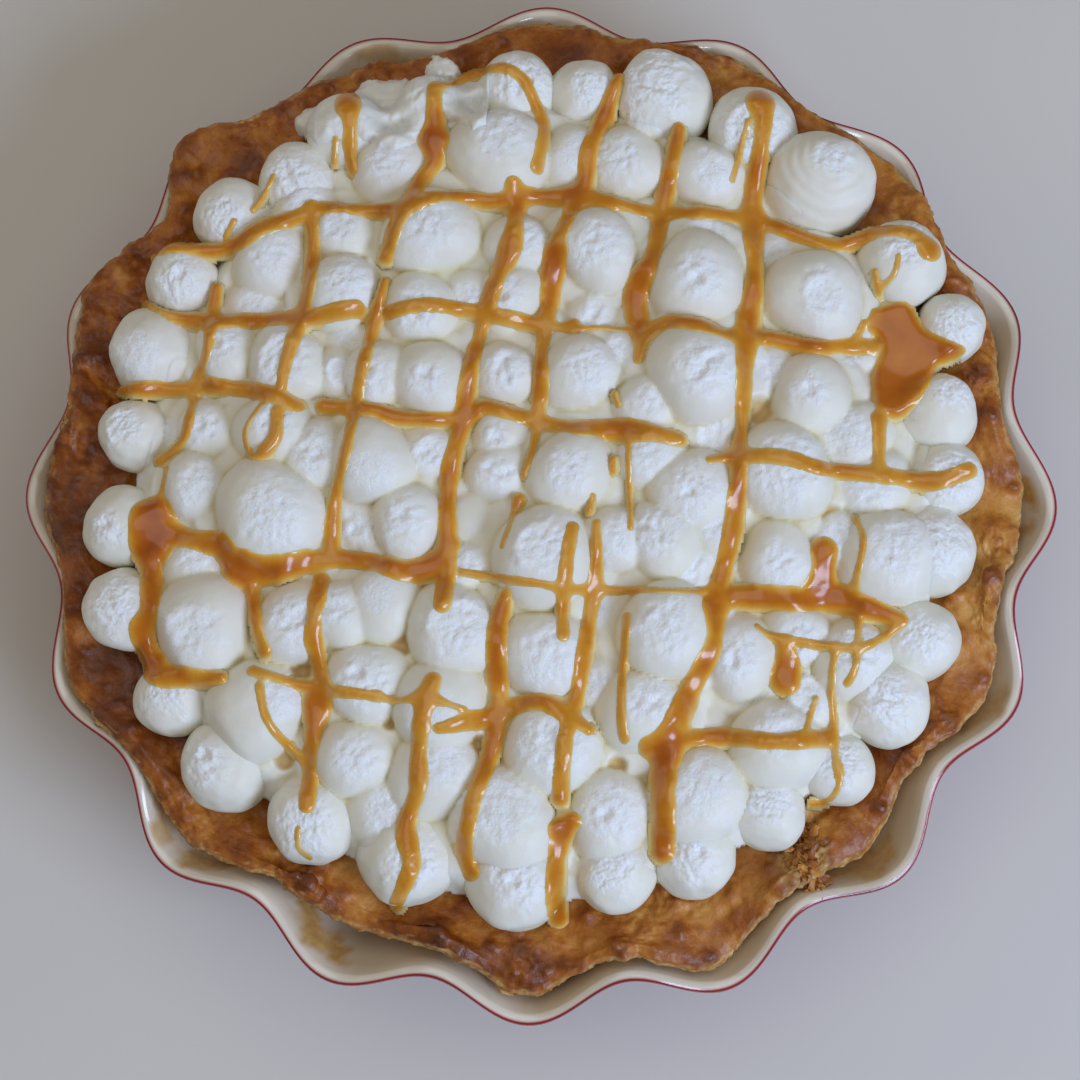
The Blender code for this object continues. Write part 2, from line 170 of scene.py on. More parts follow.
def turnedShape(profile, steps, place):
    # a profile spun about Z; place() then moves each corner by angle and row
    shape = bmesh.new()
    row = shape.verts.layers.int.new("row")
    corners = []
    for number, (radius, height) in enumerate(profile):
        corner = shape.verts.new((radius, 0.0, height))
        corner[row] = number
        corners.append(corner)
    edges = [shape.edges.new(pair) for pair in zip(corners, corners[1:])]
    bmesh.ops.spin(shape, geom=corners + edges, axis=(0, 0, 1), cent=(0, 0, 0),
                   angle=math.tau, steps=steps, use_merge=True)
    bmesh.ops.remove_doubles(shape, verts=shape.verts, dist=0.001)
    for corner in shape.verts:
        radius = math.hypot(corner.co.x, corner.co.y)
        angle = math.atan2(corner.co.y, corner.co.x)
        height = corner.co.z
        if radius > 0.01:
            radius, height = place(angle, corner[row], radius, height)
        corner.co = (radius * math.cos(angle) * mm, radius * math.sin(angle) * mm, height * mm)
    bmesh.ops.recalc_face_normals(shape, faces=shape.faces)
    return shape


# dish: the same ruffle as the solid, turned finer
dishSizes = {
    "lobes": 16,
    "steps": 512,
    "rimRadius": 131.5,
    "rimHeight": 60.0,
    "rimWave": 4.5,
    "rimDip": 3.0,
    "floorTop": 6.0,
    "innerWall": ((6.0, 89.0), (13.0, 100.0), (40.0, 115.3), (60.5, 127.5)),  # height, radius
    "redEnds": (131.4, 60.0),  # the outline's point where the outer glaze stops
    "outline": (  # radius, height, spans to the next point
        (0.0, 1.5, 2), (88.6, 1.5, 2), (90.2, 1.1, 2), (90.9, 0.2, 2), (92.4, 0.0, 3), (95.6, 0.0, 2),
        (97.4, 0.5, 3), (99.6, 4.0, 6), (108.0, 18.0, 8), (120.0, 41.0, 8), (130.6, 58.4, 3),
        (131.4, 60.0, 3), (131.1, 61.2, 3), (129.9, 61.6, 3), (128.5, 61.3, 3), (127.3, 60.1, 8),
        (115.3, 40.0, 8), (104.3, 20.4, 6), (99.4, 12.6, 5), (94.0, 7.4, 4), (88.0, 6.0, 3), (0.0, 6.0, 0),
    ),
}


def ruffle(angle):
    return math.cos(dishSizes["lobes"] * angle)


def rimLine(angle):
    return dishSizes["rimHeight"] - dishSizes["rimDip"] * ruffle(angle)


def fluting(height):
    floorTop = dishSizes["floorTop"]
    return min(1.0, max(0.0, (height - floorTop) / (dishSizes["rimHeight"] - floorTop)))


def dishPlace(angle, row, radius, height):
    depth = fluting(height)
    radius += dishSizes["rimWave"] * depth * ruffle(angle)
    # slightly uneven, as thrown and pressed clay is
    radius += 0.25 * depth * wobble(60 * math.cos(angle), 60 * math.sin(angle), height, 30)
    height -= dishSizes["rimDip"] * depth ** 3 * ruffle(angle)
    return radius, height


def dishInside(angle, height):
    # radius of the dish's inner wall at this height
    wall = dishSizes["innerWall"]
    height += dishSizes["rimDip"] * fluting(height) ** 3 * ruffle(angle)
    for (low, small), (high, large) in zip(wall, wall[1:]):
        if height <= high:
            break
    radius = small + (large - small) * (height - low) / (high - low)
    return radius + dishSizes["rimWave"] * fluting(height) * ruffle(angle)


def spreadRows(outline):
    rows = []
    for (radius, height, spans), (nextRadius, nextHeight, _) in zip(outline, outline[1:]):
        for step in range(spans):
            share = step / spans
            rows.append((radius + (nextRadius - radius) * share, height + (nextHeight - height) * share))
    rows.append(outline[-1][:2])
    return rows


def stonewareGlaze():
    # stoneware with a poured cream glaze inside and deep red outside: wet shine, soft waves,
    # and warm baked-on juice in the flutes
    material, tree, place = newFinish("glazed stoneware")
    outside, stain = (addNode(tree, "Attribute", attribute_name=name) for name in ("outside", "stain"))
    cloud = addNode(tree, "TexNoise", {"Vector": place, "Scale": 1 / (30 * mm), "Detail": 4.0})
    grain = addNode(tree, "TexNoise", {"Vector": place, "Scale": 1 / (2.5 * mm), "Detail": 3.0})
    pale = addNode(tree, "ValToRGB", {"Fac": cloud}, stops=(
        (0.3, "#D3C7B3"), (0.55, "#DDD3C2"), (0.75, "#E5DDCF")))
    juice = addNode(tree, "ValToRGB", {"Fac": grain}, stops=((0.3, "#AE8136"), (0.7, "#CBA155")))
    stained = addNode(tree, "Mix", {0: stain, 6: pale, 7: juice}, data_type="RGBA")
    red = addNode(tree, "ValToRGB", {"Fac": cloud}, stops=((0.3, "#7E1420"), (0.7, "#A3202C")))
    glaze = addNode(tree, "Mix", {0: outside, 6: stained, 7: red}, data_type="RGBA")
    waves = addNode(tree, "Bump", {"Height": cloud, "Strength": 0.25, "Distance": 0.8 * mm})
    return finished(material, {"Base Color": glaze, "Normal": waves, "Roughness": 0.16, "IOR": 1.5,
                               "Coat Weight": 0.3, "Coat Roughness": 0.06})


# caramel splashes on the dish's inner wall: angle, height, reach along, reach up, strength
splashes = (
    (141, 56, 5, 6, 0.7), (110, 57, 4, 4, 0.6), (40, 54, 5, 6, 0.7), (3, 54, 3, 4, 0.95),
    (357, 52, 2, 5, 0.8), (335, 55, 5, 5, 0.6), (313, 53, 6, 7, 0.7), (287, 51, 5, 8, 0.6),
    (244, 53, 6, 7, 0.9), (228, 55, 4, 5, 0.8), (222, 56, 3, 4, 0.7), (262, 46, 8, 8, 0.45),
    (204, 52, 5, 6, 0.5),
)


def makeDish():
    rows = spreadRows(dishSizes["outline"])
    shape = turnedShape(rows, dishSizes["steps"], dishPlace)
    row = shape.verts.layers.int["row"]
    edgeRow = rows.index(dishSizes["redEnds"]) + 1
    outside, stains = [], []
    for corner in shape.verts:
        x, y, height = corner.co / mm
        angle = math.degrees(math.atan2(corner.co.y, corner.co.x)) % 360
        outside.append(1.0 - smoothStep(edgeRow + 3.2, edgeRow + 4.4, corner[row]))
        stain = 0.0
        if corner[row] > edgeRow + 6:
            for centre, middle, along, up, strength in splashes:
                turn = abs((angle - centre + 180) % 360 - 180)
                reach = math.hypot(turn / along, (height - middle) / up)
                reach += 0.5 * wobble(x, y, height, 4, centre)
                stain = max(stain, strength * (1 - smoothStep(0.5, 1.0, reach)))
            # thin brown bloom that baked on just above the crust
            stain += 0.12 * max(0.0, wobble(x, y, height, 12, 3.1))
        stains.append(stain)
    mesh = meshFrom(shape, "glazedDish")
    storeValues(mesh, "outside", outside)
    storeValues(mesh, "stain", stains)
    return placePiece("glazedDish", mesh, stonewareGlaze(), "dish")


glazedDish = makeDish()


# crust: the solid's own rows on a fine grid, then puffed, folded, blistered and flaked
crustSizes = {
    "steps": 1100,
    "radius": 126.4,
    "push": 3.7,
    "pushAngle": 118.0,
    "wave": 1.8,
    "swells": (  # angle, amount, half width
        (38, 2.5, 6), (82, -1.5, 6), (108, -6.0, 12), (135, 6.5, 5), (143, -4.0, 4), (154, 2.5, 5),
        (204, 2.5, 8), (247, -5.0, 13), (270, 3.5, 5), (291, 5.0, 6), (322, -2.5, 5), (337, 2.0, 5),
    ),
    "seatRadius": 98.0,
    "seatHeight": 59.0,
    "gap": 0.3,
    "spans": (2, 2, 4, 4, 5, 5, 3, 6, 15, 12, 14, 3),  # fine rows in each span of the solid's rows
    "settle": 5,  # smoothing rounds
    "lumps": (13.0, 1.5),  # size, height
    "folds": (17, 0.5),
    "blisters": (4.6, 1.5),
    "plates": (8.0, 1.0),
    "crumb": (1.7, 0.34),
    "tear": (69.0, -92.5, 9.0),  # torn place: x, y, reach
    "heat": 0.46,  # how brown it is on average
    "darkerSide": 225,  # the side that is coloured browner, degrees: partly baking colour, partly painted shade
    "rimBrown": (112, 121),  # radii over which it browns towards the rim
    "seatPale": (104, 112),  # and pales towards the middle
    "wallHeights": (14.0, 40.0, 54.0),
    "clearance": 1.2,  # between it and the dish's wall
}


def crustEdge(angle):
    degrees = math.degrees(angle) % 360.0
    pushed = math.cos(math.radians(degrees - crustSizes["pushAngle"]))
    radius = crustSizes["radius"] + crustSizes["push"] * pushed + crustSizes["wave"] * ruffle(angle)
    for centre, amount, halfWidth in crustSizes["swells"]:
        radius += amount * math.exp(-((degrees - centre) / halfWidth) ** 2)
    return radius


def crustRows(angle):
    edge, rim, clearance = crustEdge(angle), rimLine(angle), crustSizes["clearance"]
    bottom = dishSizes["floorTop"] + crustSizes["gap"]
    rows = [(0.0, bottom), (88.0, bottom)]
    for height in crustSizes["wallHeights"]:
        rows.append((min(dishInside(angle, height) - clearance, edge - 1.5), height))
    rows.append((min(edge - 1.0, dishInside(angle, dishSizes["rimHeight"]) - clearance), rim + 2.4))
    rows += [(edge, rim + 3.2), (edge - 0.8, rim + 5.0), (edge - 4.0, rim + 6.2)]
    rows += [(115.5, 65.0 - ruffle(angle)), (108.0, 62.0)]
    rows += [(crustSizes["seatRadius"], crustSizes["seatHeight"]), (0.0, crustSizes["seatHeight"])]
    return rows


def crustOutline(angle):
    rows = [point + (spans,) for point, spans in zip(crustRows(angle), crustSizes["spans"] + (0,))]
    return spreadRows(rows)


def bakedPastry():
    # egg-washed flaky pastry: satin varnish on the puffed places, toffee brown where it stood high
    # in the oven, gold in the hollows, and pale dry layers where the edge is broken
    material, tree, place = newFinish("egg-washed pastry")
    toast, broken = (addNode(tree, "Attribute", attribute_name=name) for name in ("toast", "broken"))
    patch = addNode(tree, "TexNoise", {
        "Vector": place, "Scale": 1 / (7 * mm), "Detail": 6.0, "Roughness": 0.62})
    speck = addNode(tree, "TexNoise", {
        "Vector": place, "Scale": 1 / (1.4 * mm), "Detail": 4.0, "Roughness": 0.6})
    spread = addNode(tree, "Math", {0: patch, 1: 0.55}, operation="SUBTRACT")
    wide = addNode(tree, "Math", {0: spread, 1: 0.65, 2: toast}, operation="MULTIPLY_ADD")
    fine = addNode(tree, "Math", {0: speck, 1: 0.5}, operation="SUBTRACT")
    browned = addNode(tree, "Math", {0: fine, 1: 0.3, 2: wide}, operation="MULTIPLY_ADD")
    skin = addNode(tree, "ValToRGB", {"Fac": browned}, stops=(
        (0.0, "#D9A860"), (0.2, "#C98B3C"), (0.4, "#B46E24"), (0.58, "#985114"), (0.76, "#773A0D"),
        (1.0, "#4E2409")))
    layers = addNode(tree, "ValToRGB", {"Fac": speck}, stops=(
        (0.3, "#9A6628"), (0.5, "#C79A58"), (0.7, "#DDBE88")))
    both = addNode(tree, "Mix", {0: broken, 6: skin, 7: layers}, data_type="RGBA")
    shine = addNode(tree, "MapRange", {"Value": browned, "From Min": 0.1, "From Max": 0.9,
                                       "To Min": 0.52, "To Max": 0.34})
    dry = addNode(tree, "Mix", {0: broken, 2: shine, 3: 0.8})
    flakes = addNode(tree, "TexVoronoi", {"Vector": place, "Scale": 1 / (3.2 * mm), "Randomness": 1.0})
    rough = addNode(tree, "Bump", {"Height": speck, "Strength": 0.7, "Distance": 0.5 * mm})
    lift = addNode(tree, "Bump", {"Height": flakes, "Strength": 0.3, "Distance": 0.7 * mm, "Normal": rough})
    return finished(material, {"Base Color": both, "Roughness": dry, "Normal": lift, "IOR": 1.45,
                               "Coat Weight": 0.16, "Coat Roughness": 0.25})


pastry = bakedPastry()


def makeCrust():
    steps, spans = crustSizes["steps"], crustSizes["spans"]
    outlines = {}

    def place(angle, row, radius, height):
        key = round(angle / math.tau * steps) % steps
        if key not in outlines:
            outlines[key] = crustOutline(angle)
        return outlines[key][row]

    shape = turnedShape(crustOutline(0.0), steps, place)
    row = shape.verts.layers.int["row"]
    edgeRow, lipRow, lastRow = sum(spans[:6]), sum(spans[:4]), sum(spans)
    skin = [corner for corner in shape.verts if lipRow < corner[row] < lastRow - 1]
    for _ in range(crustSizes["settle"]):
        bmesh.ops.smooth_vert(shape, verts=skin, factor=0.5,
                              use_axis_x=True, use_axis_y=True, use_axis_z=True)
    shape.normal_update()
    lumpSize, lumpHeight = crustSizes["lumps"]
    foldSize, foldDepth = crustSizes["folds"]
    blisterSize, blisterHeight = crustSizes["blisters"]
    plateSize, plateHeight = crustSizes["plates"]
    crumbSize, crumbHeight = crustSizes["crumb"]
    tearX, tearY, tearReach = crustSizes["tear"]
    toast, broken, moves = [], [], []
    for corner in shape.verts:
        x, y, z = corner.co / mm
        radius, angle = math.hypot(x, y), math.atan2(y, x)
        upper = smoothStep(lipRow - 2, lipRow + 5, corner[row])
        lumps = wobble(x, y, z, lumpSize, 1.7) * lumpHeight
        bend = 5.0 * wobble(x, y, 0, 20, 3.3)
        fold = -foldDepth * (1 - smoothStep(0.0, 0.10, abs(wobble(x + bend, y - bend, 0, foldSize, 6.6))))
        blister = max(0.0, wobble(x, y, z, blisterSize, 5.3)) ** 1.5 * blisterHeight * 2.2
        flaky = smoothStep(-0.05, 0.30, wobble(x, y, 0, 17, 12.7))  # where the layers have lifted
        plate = wobble(x, y, z, plateSize, 9.1) * 3.0 + 0.9 * wobble(x, y, z, 2.8, 2.2)
        step = math.floor(plate * 2) + smoothStep(0.0, 0.22, plate * 2 - math.floor(plate * 2))
        cliff = step * 0.5 * plateHeight * (0.25 + 0.75 * flaky)
        crumb = noise.fractal(Vector((x, y, z)) / crumbSize, 0.8, 2.0, 3) * crumbHeight
        crumb *= 0.4 + 1.6 * flaky
        edging = math.exp(-((corner[row] - edgeRow) / 3.5) ** 2)
        along, up = angle * 120.0, corner[row] * 0.9
        leaf = ripple(along / 3.0, up, 0.5) + 0.6 * ripple(along / 1.1, up, 3.5)  # the cut edge's layers
        tear = 1 - smoothStep(0.5, 1.0, math.hypot((x - tearX) / tearReach, (y - tearY) / tearReach)
                              + 0.3 * wobble(x, y, z, 3.0, 8.8))
        torn = tear * (abs(wobble(x, y, z, 2.4, 6.1)) * 3.2 - 1.6)
        move = upper * (lumps + fold * 0.7 + blister + cliff + crumb) * (1 - 0.5 * edging)
        move += edging * leaf * 0.8 + torn
        if move > 0:
            move *= 0.85
        moves.append(corner.normal * move * mm)
        hollow = smoothStep(-1.2, 1.6, lumps + blister + fold + cliff)
        heat = crustSizes["heat"] + 0.30 * (hollow - 0.5)
        heat = heat + 0.30 * wobble(x, y, 0, 24, 4.4) + 0.22 * wobble(x, y, 0, 8, 7.7)
        rim, seat = smoothStep(*crustSizes["rimBrown"], radius), smoothStep(*crustSizes["seatPale"], radius)
        heat += 0.16 * rim - 0.16 * (1 - seat)
        # one side coloured browner: partly the oven's browning, partly painted shade
        heat += 0.10 * math.cos(angle - math.radians(crustSizes["darkerSide"]))
        heat -= 0.16 * flaky * smoothStep(0.0, 0.25, wobble(x, y, z, 3.4, 15.1))
        toast.append(min(1.0, max(0.0, heat)))
        side = 1 - smoothStep(edgeRow, edgeRow + 5, corner[row] + 3.0 * leaf)
        broken.append(max(side * smoothStep(lipRow - 9, lipRow, corner[row]) * 0.95, tear * 0.85))
    for corner, move in zip(shape.verts, moves):
        corner.co += move
    mesh = meshFrom(shape, "bakedCrust")
    storeValues(mesh, "toast", toast)
    storeValues(mesh, "broken", broken)
    return placePiece("bakedCrust", mesh, pastry, "crust")


bakedCrust = makeCrust()


# flakes: thin curled leaves that lifted off the pastry, thickest round the torn place
flakeSizes = {
    "seed": 41,
    "thickness": 0.25,
    "places": (  # x, y, reach, how many, length, tilt in degrees, how far the heap of them rises
        (68, -88, 4.4, 44, 4.8, 45, 1.0), (70, -94, 2.6, 14, 4.2, 40, 0.4),
        (73, -99.5, 2.8, 30, 4.6, 50, 0.8),
    ),
    "lowest": 61.5,
    "farthest": 125.5,
}


def makeFlakes():
    draw = random.Random(flakeSizes["seed"])
    skin = meshesTree([bakedCrust])
    shape = bmesh.new()
    toast, broken = (shape.verts.layers.float.new(name) for name in ("toast", "broken"))
    for x, y, reach, count, length, tilt, rise in flakeSizes["places"]:
        for _ in range(count):
            px, py = draw.gauss(x, reach * 0.5), draw.gauss(y, reach * 0.5)
            spot, facing = dropOnto(skin, px, py)
            height = spot.z / mm if spot else 0.0
            if height <= flakeSizes["lowest"]:  # beside the crust, in the dish
                if math.hypot(px, py) > flakeSizes["farthest"]:
                    continue
                height, facing = flakeSizes["lowest"], Vector((0, 0, 1))
            long, wide = length * draw.uniform(0.4, 1.1), length * draw.uniform(0.35, 0.9)
            loose = tilt / 50
            curl, taper, seed = loose * draw.uniform(0.05, 0.35), draw.uniform(0.1, 0.8), draw.uniform(0, 90)
            grid = bmesh.ops.create_grid(shape, x_segments=4, y_segments=3, size=0.5)["verts"]
            for corner in grid:
                u, v = corner.co.x, corner.co.y
                edge = 0.9 * ripple(u * 4, v * 4, seed)
                lift = curl * long * u * u * 2 + 0.9 * loose * ripple(u * 2.5, v * 2.5, seed + 9)
                corner.co = long * (u + 0.3 * edge), wide * v * (1 - taper * (u + 0.5)) * (1 + edge), lift
            faces = list({face for corner in grid for face in corner.link_faces})
            under = bmesh.ops.extrude_face_region(shape, geom=faces)["geom"]
            lower = [part for part in under if isinstance(part, bmesh.types.BMVert)]
            bmesh.ops.translate(shape, vec=(0, 0, -flakeSizes["thickness"]), verts=lower)
            turn = facing.to_track_quat("Z", "Y").to_matrix()
            turn = turn @ Matrix.Rotation(draw.uniform(0, math.tau), 3, "Z")
            turn = turn @ Matrix.Rotation(math.radians(draw.uniform(-tilt, tilt)), 3, "Y")
            middle = Vector((px, py, height + 0.2 + rise * abs(draw.gauss(0, 0.6))))
            heat, pale = draw.uniform(0.25, 0.7), draw.uniform(0.0, 0.25)
            for corner in grid + lower:
                corner.co = (turn @ corner.co + middle) * mm
                corner[toast], corner[broken] = heat, pale
    bmesh.ops.recalc_face_normals(shape, faces=shape.faces)
    return placePiece("pastryFlakes", shape, pastry, "crust")


makeFlakes()


# filling: a low tan dome that shows only in the gaps
fillingSizes = {
    "steps": 160,
    "outline": ((0.0, 59.3, 2), (90.0, 59.3, 2), (96.5, 59.5, 3), (101.0, 61.0, 6), (92.0, 64.8, 8),
                (75.0, 68.5, 12), (45.0, 71.0, 12), (0.0, 72.2, 0)),
}


def softCaramel():
    # boiled milk caramel, thick as custard: opaque tan, smooth, a slow waxy shine
    material, tree, place = newFinish("dulce de leche filling")
    cloud = addNode(tree, "TexNoise", {"Vector": place, "Scale": 1 / (6 * mm), "Detail": 3.0})
    tan = addNode(tree, "ValToRGB", {"Fac": cloud}, stops=((0.3, "#9A763F"), (0.7, "#BC9355")))
    soft = addNode(tree, "Bump", {"Height": cloud, "Strength": 0.4, "Distance": 0.8 * mm})
    return finished(material, {"Base Color": tan, "Normal": soft, "Roughness": 0.38, "IOR": 1.46})


def makeFilling():
    def place(angle, row, radius, height):
        if height > 61.5:
            height += 0.35 * wobble(radius * math.cos(angle), radius * math.sin(angle), height, 9)
        return radius, height

    shape = turnedShape(spreadRows(fillingSizes["outline"]), fillingSizes["steps"], place)
    return placePiece("caramelFilling", shape, softCaramel(), "filling")


makeFilling()


# whipped cream: x, y, diameter and lift of every dollop, as in the solid
outerRing = (
    (105, 5, 20, 0), (103, 22, 21, 0), (107, 45, 18, -1), (94, 61, 24, 0), (73, 83, 29, 0),
    (55, 97, 24, 0), (32, 106, 26, 0), (11, 107, 19, 0), (-7, 108, 21, 0), (-29, 102, 19, 0),
    (-51, 95, 22, 0), (-64, 82, 22, 0), (-81, 73, 21, 0), (-94, 55, 20, 0), (-101, 36, 23, 0),
    (-105, 14, 19, 0), (-106, -10, 22, 0), (-105, -32, 22, 0), (-92, -55, 20, 0), (-78, -72, 23, 0),
    (-55, -85, 23, 0), (-31, -94, 25, 0), (-3, -99, 26, 0), (22, -97, 21, 0), (42, -93, 21, 0),
    (60, -81, 20, 0), (78, -70, 19, 0), (90, -53, 23, 0), (98, -37, 22, 0), (102, -14, 23, 0),
)
secondRing = (
    (86, 2, 20, -1), (82, 14, 20, -1), (83, 37, 14, -3), (71, 51, 25, 1), (61, 63, 13, -2),
    (43, 66, 18, -3), (43, 85, 20, 0), (23, 87, 21, -2), (8, 88, 18, -1), (-11, 88, 26, 1),
    (-39, 84, 21, 0), (-62, 74, 20, -1), (-51, 66, 18, 0), (-70, 60, 21, 0), (-74, 49, 16, -3),
    (-80, 35, 18, 0), (-77, 24, 14, -3), (-84, 14, 17, -1), (-96, 13, 12, -3), (-106, 2, 14, -4),
    (-87, -1, 17, 2), (-87, -22, 18, -1), (-84, -37, 27, 1), (-70, -58, 25, 1), (-60, -36, 22, 0),
    (-44, -70, 20, 1), (-36, -82, 22, -2), (-24, -74, 24, 0), (-6, -85, 27, 1), (6, -66, 25, 0),
    (20, -83, 23, 0), (42, -78, 25, 1), (62, -65, 24, 1), (70, -54, 16, -1), (81, -43, 20, 1),
    (66, -37, 18, -1), (57, -53, 14, -4), (90, -17, 26, 1), (77, -13, 18, -2),
)
innerDollops = (
    (62, -18, 19, 0), (63, 4, 25, 1), (70, 24, 21, 1), (60, 31, 15, -2), (41, 29, 25, 3),
    (41, 54, 24, 2), (15, 62, 21, 1), (-5, 63, 18, -1), (-28, 66, 24, 1), (-30, 46, 19, 0),
    (-17, 50, 14, -2), (-7, 49, 18, -2), (14, 46, 14, -4), (-51, 50, 20, 1), (-49, 38, 14, -3),
    (-64, 31, 21, 0), (-51, 29, 15, -2), (-67, 13, 20, 1), (-55, 7, 20, -1), (-67, -8, 28, 1),
    (-40, 28, 18, 0), (-27, 27, 20, 0), (-8, 29, 17, -1), (11, 29, 19, 0), (20, 35, 14, -3),
    (29, 21, 18, -1), (30, 8, 18, 0), (44, 14, 16, -3), (-9, 13, 14, -1), (-27, 8, 16, -2),
    (-41, 5, 22, 1), (-9, 3, 17, -2), (9, 3, 21, 1), (3, -19, 26, 1), (20, -14, 18, 0),
    (40, -1, 22, 0), (33, -14, 20, 0), (46, -11, 16, -1), (38, -20, 18, -3), (34, -37, 24, 2),
    (52, -43, 20, 0), (3, -43, 23, 0), (17, -32, 14, -3), (17, -50, 16, -2), (28, -57, 22, 1),
    (-20, -38, 24, 0), (-17, -22, 14, -1), (-32, -10, 19, 0), (-44, -11, 13, -3), (-48, -34, 18, 1),
    (-37, -31, 19, 0), (-41, -51, 22, 0), (-23, -57, 24, 1),
)
dabs = (  # small low dollops pressed between the others, seen only in part
    (28, 71, 14, -4), (45, -59, 14, -4), (-16, -9, 15, -3), (50, -28, 13, -4), (54, 43, 12, -4),
    (5, 74, 12, -4), (55, 75, 12, -4), (-51, -20, 12, -3), (2, 17, 12, -3), (-38, 92, 17, -1),
    (-18, 96, 14, -3), (26, 46, 12, -4), (-17, 38, 11, -3), (75, -26, 12, -4), (88, 27, 12, -4),
    (17, 16, 12, -3), (4, 41, 11, -3), (-20, -2, 11, -3), (-7, -55, 11, -4), (-89, 26, 10, -4),
)
creamSizes = {
    "edgeMiddle": 71.0,  # height of the outer dollops' widest ring
    "moundRise": 12.0,
    "moundRadius": 104.0,
    "topLimit": 96.3,
    "detail": 6,  # icosphere steps
    "groups": 4,
    "squat": 0.96,
    "tornHeight": 0.50,
    "tornSize": 1.5,
    "kinds": {"torn": 9, "pitted": 4, "folded": 3, "curled": 2, "smooth": 2},  # how common each tip is
    "tips": {  # dollop x, y: where its torn tip sits, how wide it is, and its kind
        (-11, 88): (-10, 92, 8, "torn"), (41, 29): (43, 29, 8.5, "folded"), (73, 83): (76, 87, 6, "torn"),
        (90, -17): (92, -15, 9, "torn"), (-78, -72): (-83, -71, 7, "pitted"),
        (-70, -58): (-63, -55, 7, "torn"), (-87, -1): (-87, -1, 6.5, "torn"),
        (11, 107): (13, 106, 6.5, "torn"), (-81, 73): (-82, 70, 7, "torn"), (-94, 55): (-94, 54, 7, "pitted"),
        (-101, 36): (-104, 35, 7, "smooth"), (-105, 14): (-107, 15, 6, "curled"),
        (62, -18): (63, -20, 6, "torn"), (103, 22): (107, 27, 6, "torn"), (70, 24): (70, 25, 5.5, "pitted"),
        (3, -19): (3, -18, 9, "curled"), (-106, -10): (-110, -12, 5, "pitted"),
        (52, -43): (52, -44, 7, "pitted"), (15, 62): (15, 62, 8, "torn"), (-67, -8): (-65, -10, 10, "torn"),
        (63, 4): (64, 4, 10, "torn"), (-3, -99): (-2, -99, 8, "pitted"), (42, -78): (43, -77, 9, "torn"),
        (34, -37): (34, -36, 9, "torn"),
    },
    "swirled": {(73, 83): 0.13, (90, -17): 0.06, (-11, 88): 0.05, (63, 4): 0.04},  # the nozzle's grooves
    "gaps": (  # x, y, width of the places where the filling shows
        (57, 20, 5), (43, 7, 4.2), (76, -7, 4.2), (85, -6, 3.6), (-67, -43, 4.2), (-58, -48, 3.8),
        (-33, -42, 3.8), (-35, -61, 3.4), (-13, -67, 4.2), (22, -71, 3.4), (-62, -71, 3.6), (56, 41.5, 3.6),
        (28, 2, 3), (11, -2, 2.5),
    ),
}
dollops = outerRing + secondRing + innerDollops


def middleHeight(x, y, lift):
    spread = min(1.0, (x * x + y * y) / creamSizes["moundRadius"] ** 2)
    return creamSizes["edgeMiddle"] + creamSizes["moundRise"] * (1.0 - spread) + lift


tipFacts = {}


def tipOf(dollop):
    # where the nozzle tore off, how wide the torn place is, and what it looks like
    x, y, diameter = dollop[:3]
    if (x, y) not in tipFacts:
        draw = random.Random(x * 131 + y)
        turn, away = draw.uniform(0, math.tau), draw.uniform(0.0, 0.16) * diameter
        kind = draw.choices(list(creamSizes["kinds"]), list(creamSizes["kinds"].values()))[0]
        own = x + away * math.cos(turn), y + away * math.sin(turn), diameter * draw.uniform(0.29, 0.42), kind
        tipX, tipY, reach, kind = creamSizes["tips"].get((x, y), own)
        tipFacts[(x, y)] = {
            "x": tipX, "y": tipY, "reach": reach, "kind": kind, "seed": draw.uniform(0, 50),
            "grain": draw.uniform(0, math.pi), "stretch": draw.uniform(1.0, 1.7),
            "pit": (draw.uniform(-0.25, 0.25) * reach, draw.uniform(-0.25, 0.25) * reach)}
    return tipFacts[(x, y)]


def bell(value, width, power=2):
    return math.exp(-(value / width) ** power)


def tipRelief(dollop, px, py):
    # how much of the torn tip is here, and how far its crumbs and folds stand up
    tip = tipOf(dollop)
    dx, dy, seed, reach = px - tip["x"], py - tip["y"], tip["seed"], tip["reach"]
    distance = math.hypot(dx, dy)
    if distance > 1.7 * reach:
        return 0.0, 0.0
    ragged = 0.36 * wobble(px, py, seed, 4.2) + 0.16 * wobble(px, py, seed, 1.7)
    share = 1 - smoothStep(0.40, 1.30, distance / reach + ragged)
    across = dx * math.cos(tip["grain"]) + dy * math.sin(tip["grain"])
    along = dy * math.cos(tip["grain"]) - dx * math.sin(tip["grain"])
    size = creamSizes["tornSize"]
    grain = Vector((across / size, along / size / tip["stretch"], seed))
    height = creamSizes["tornHeight"] * noise.fractal(grain, 0.45, 2.1, 4)
    # soft curds with creases between
    height += 0.45 * (0.25 - abs(noise.noise(grain * 0.6 + Vector((3.1, 7.7, 0)))))
    if tip["kind"] == "pitted":
        hole = math.hypot(dx - tip["pit"][0], dy - tip["pit"][1]) + 0.5 * wobble(px, py, seed, 2.0)
        height += 0.30 * bell(hole - 2.4, 1.0) - 0.8 * bell(hole, 1.3)
    elif tip["kind"] == "folded":
        bent = across + 2.2 * wobble(px, py, seed, 4.5) + 0.5 * wobble(px, py, seed, 1.5)
        height += bell(along, 0.7 * reach, 4) * (0.30 * bell(abs(bent) - 2.6, 1.4) - 0.7 * bell(bent, 1.6))
    elif tip["kind"] == "curled":
        facing = smoothStep(-0.3, 0.6, math.cos(math.atan2(dy, dx) - 2.4 + 0.3 * tip["pit"][0]))
        height += 0.85 * facing * bell(distance - 0.72 * reach, 0.16 * reach)
        height -= 0.5 * bell(distance, 0.5 * reach)
    elif tip["kind"] == "smooth":
        height *= 0.3
    return share, share * height


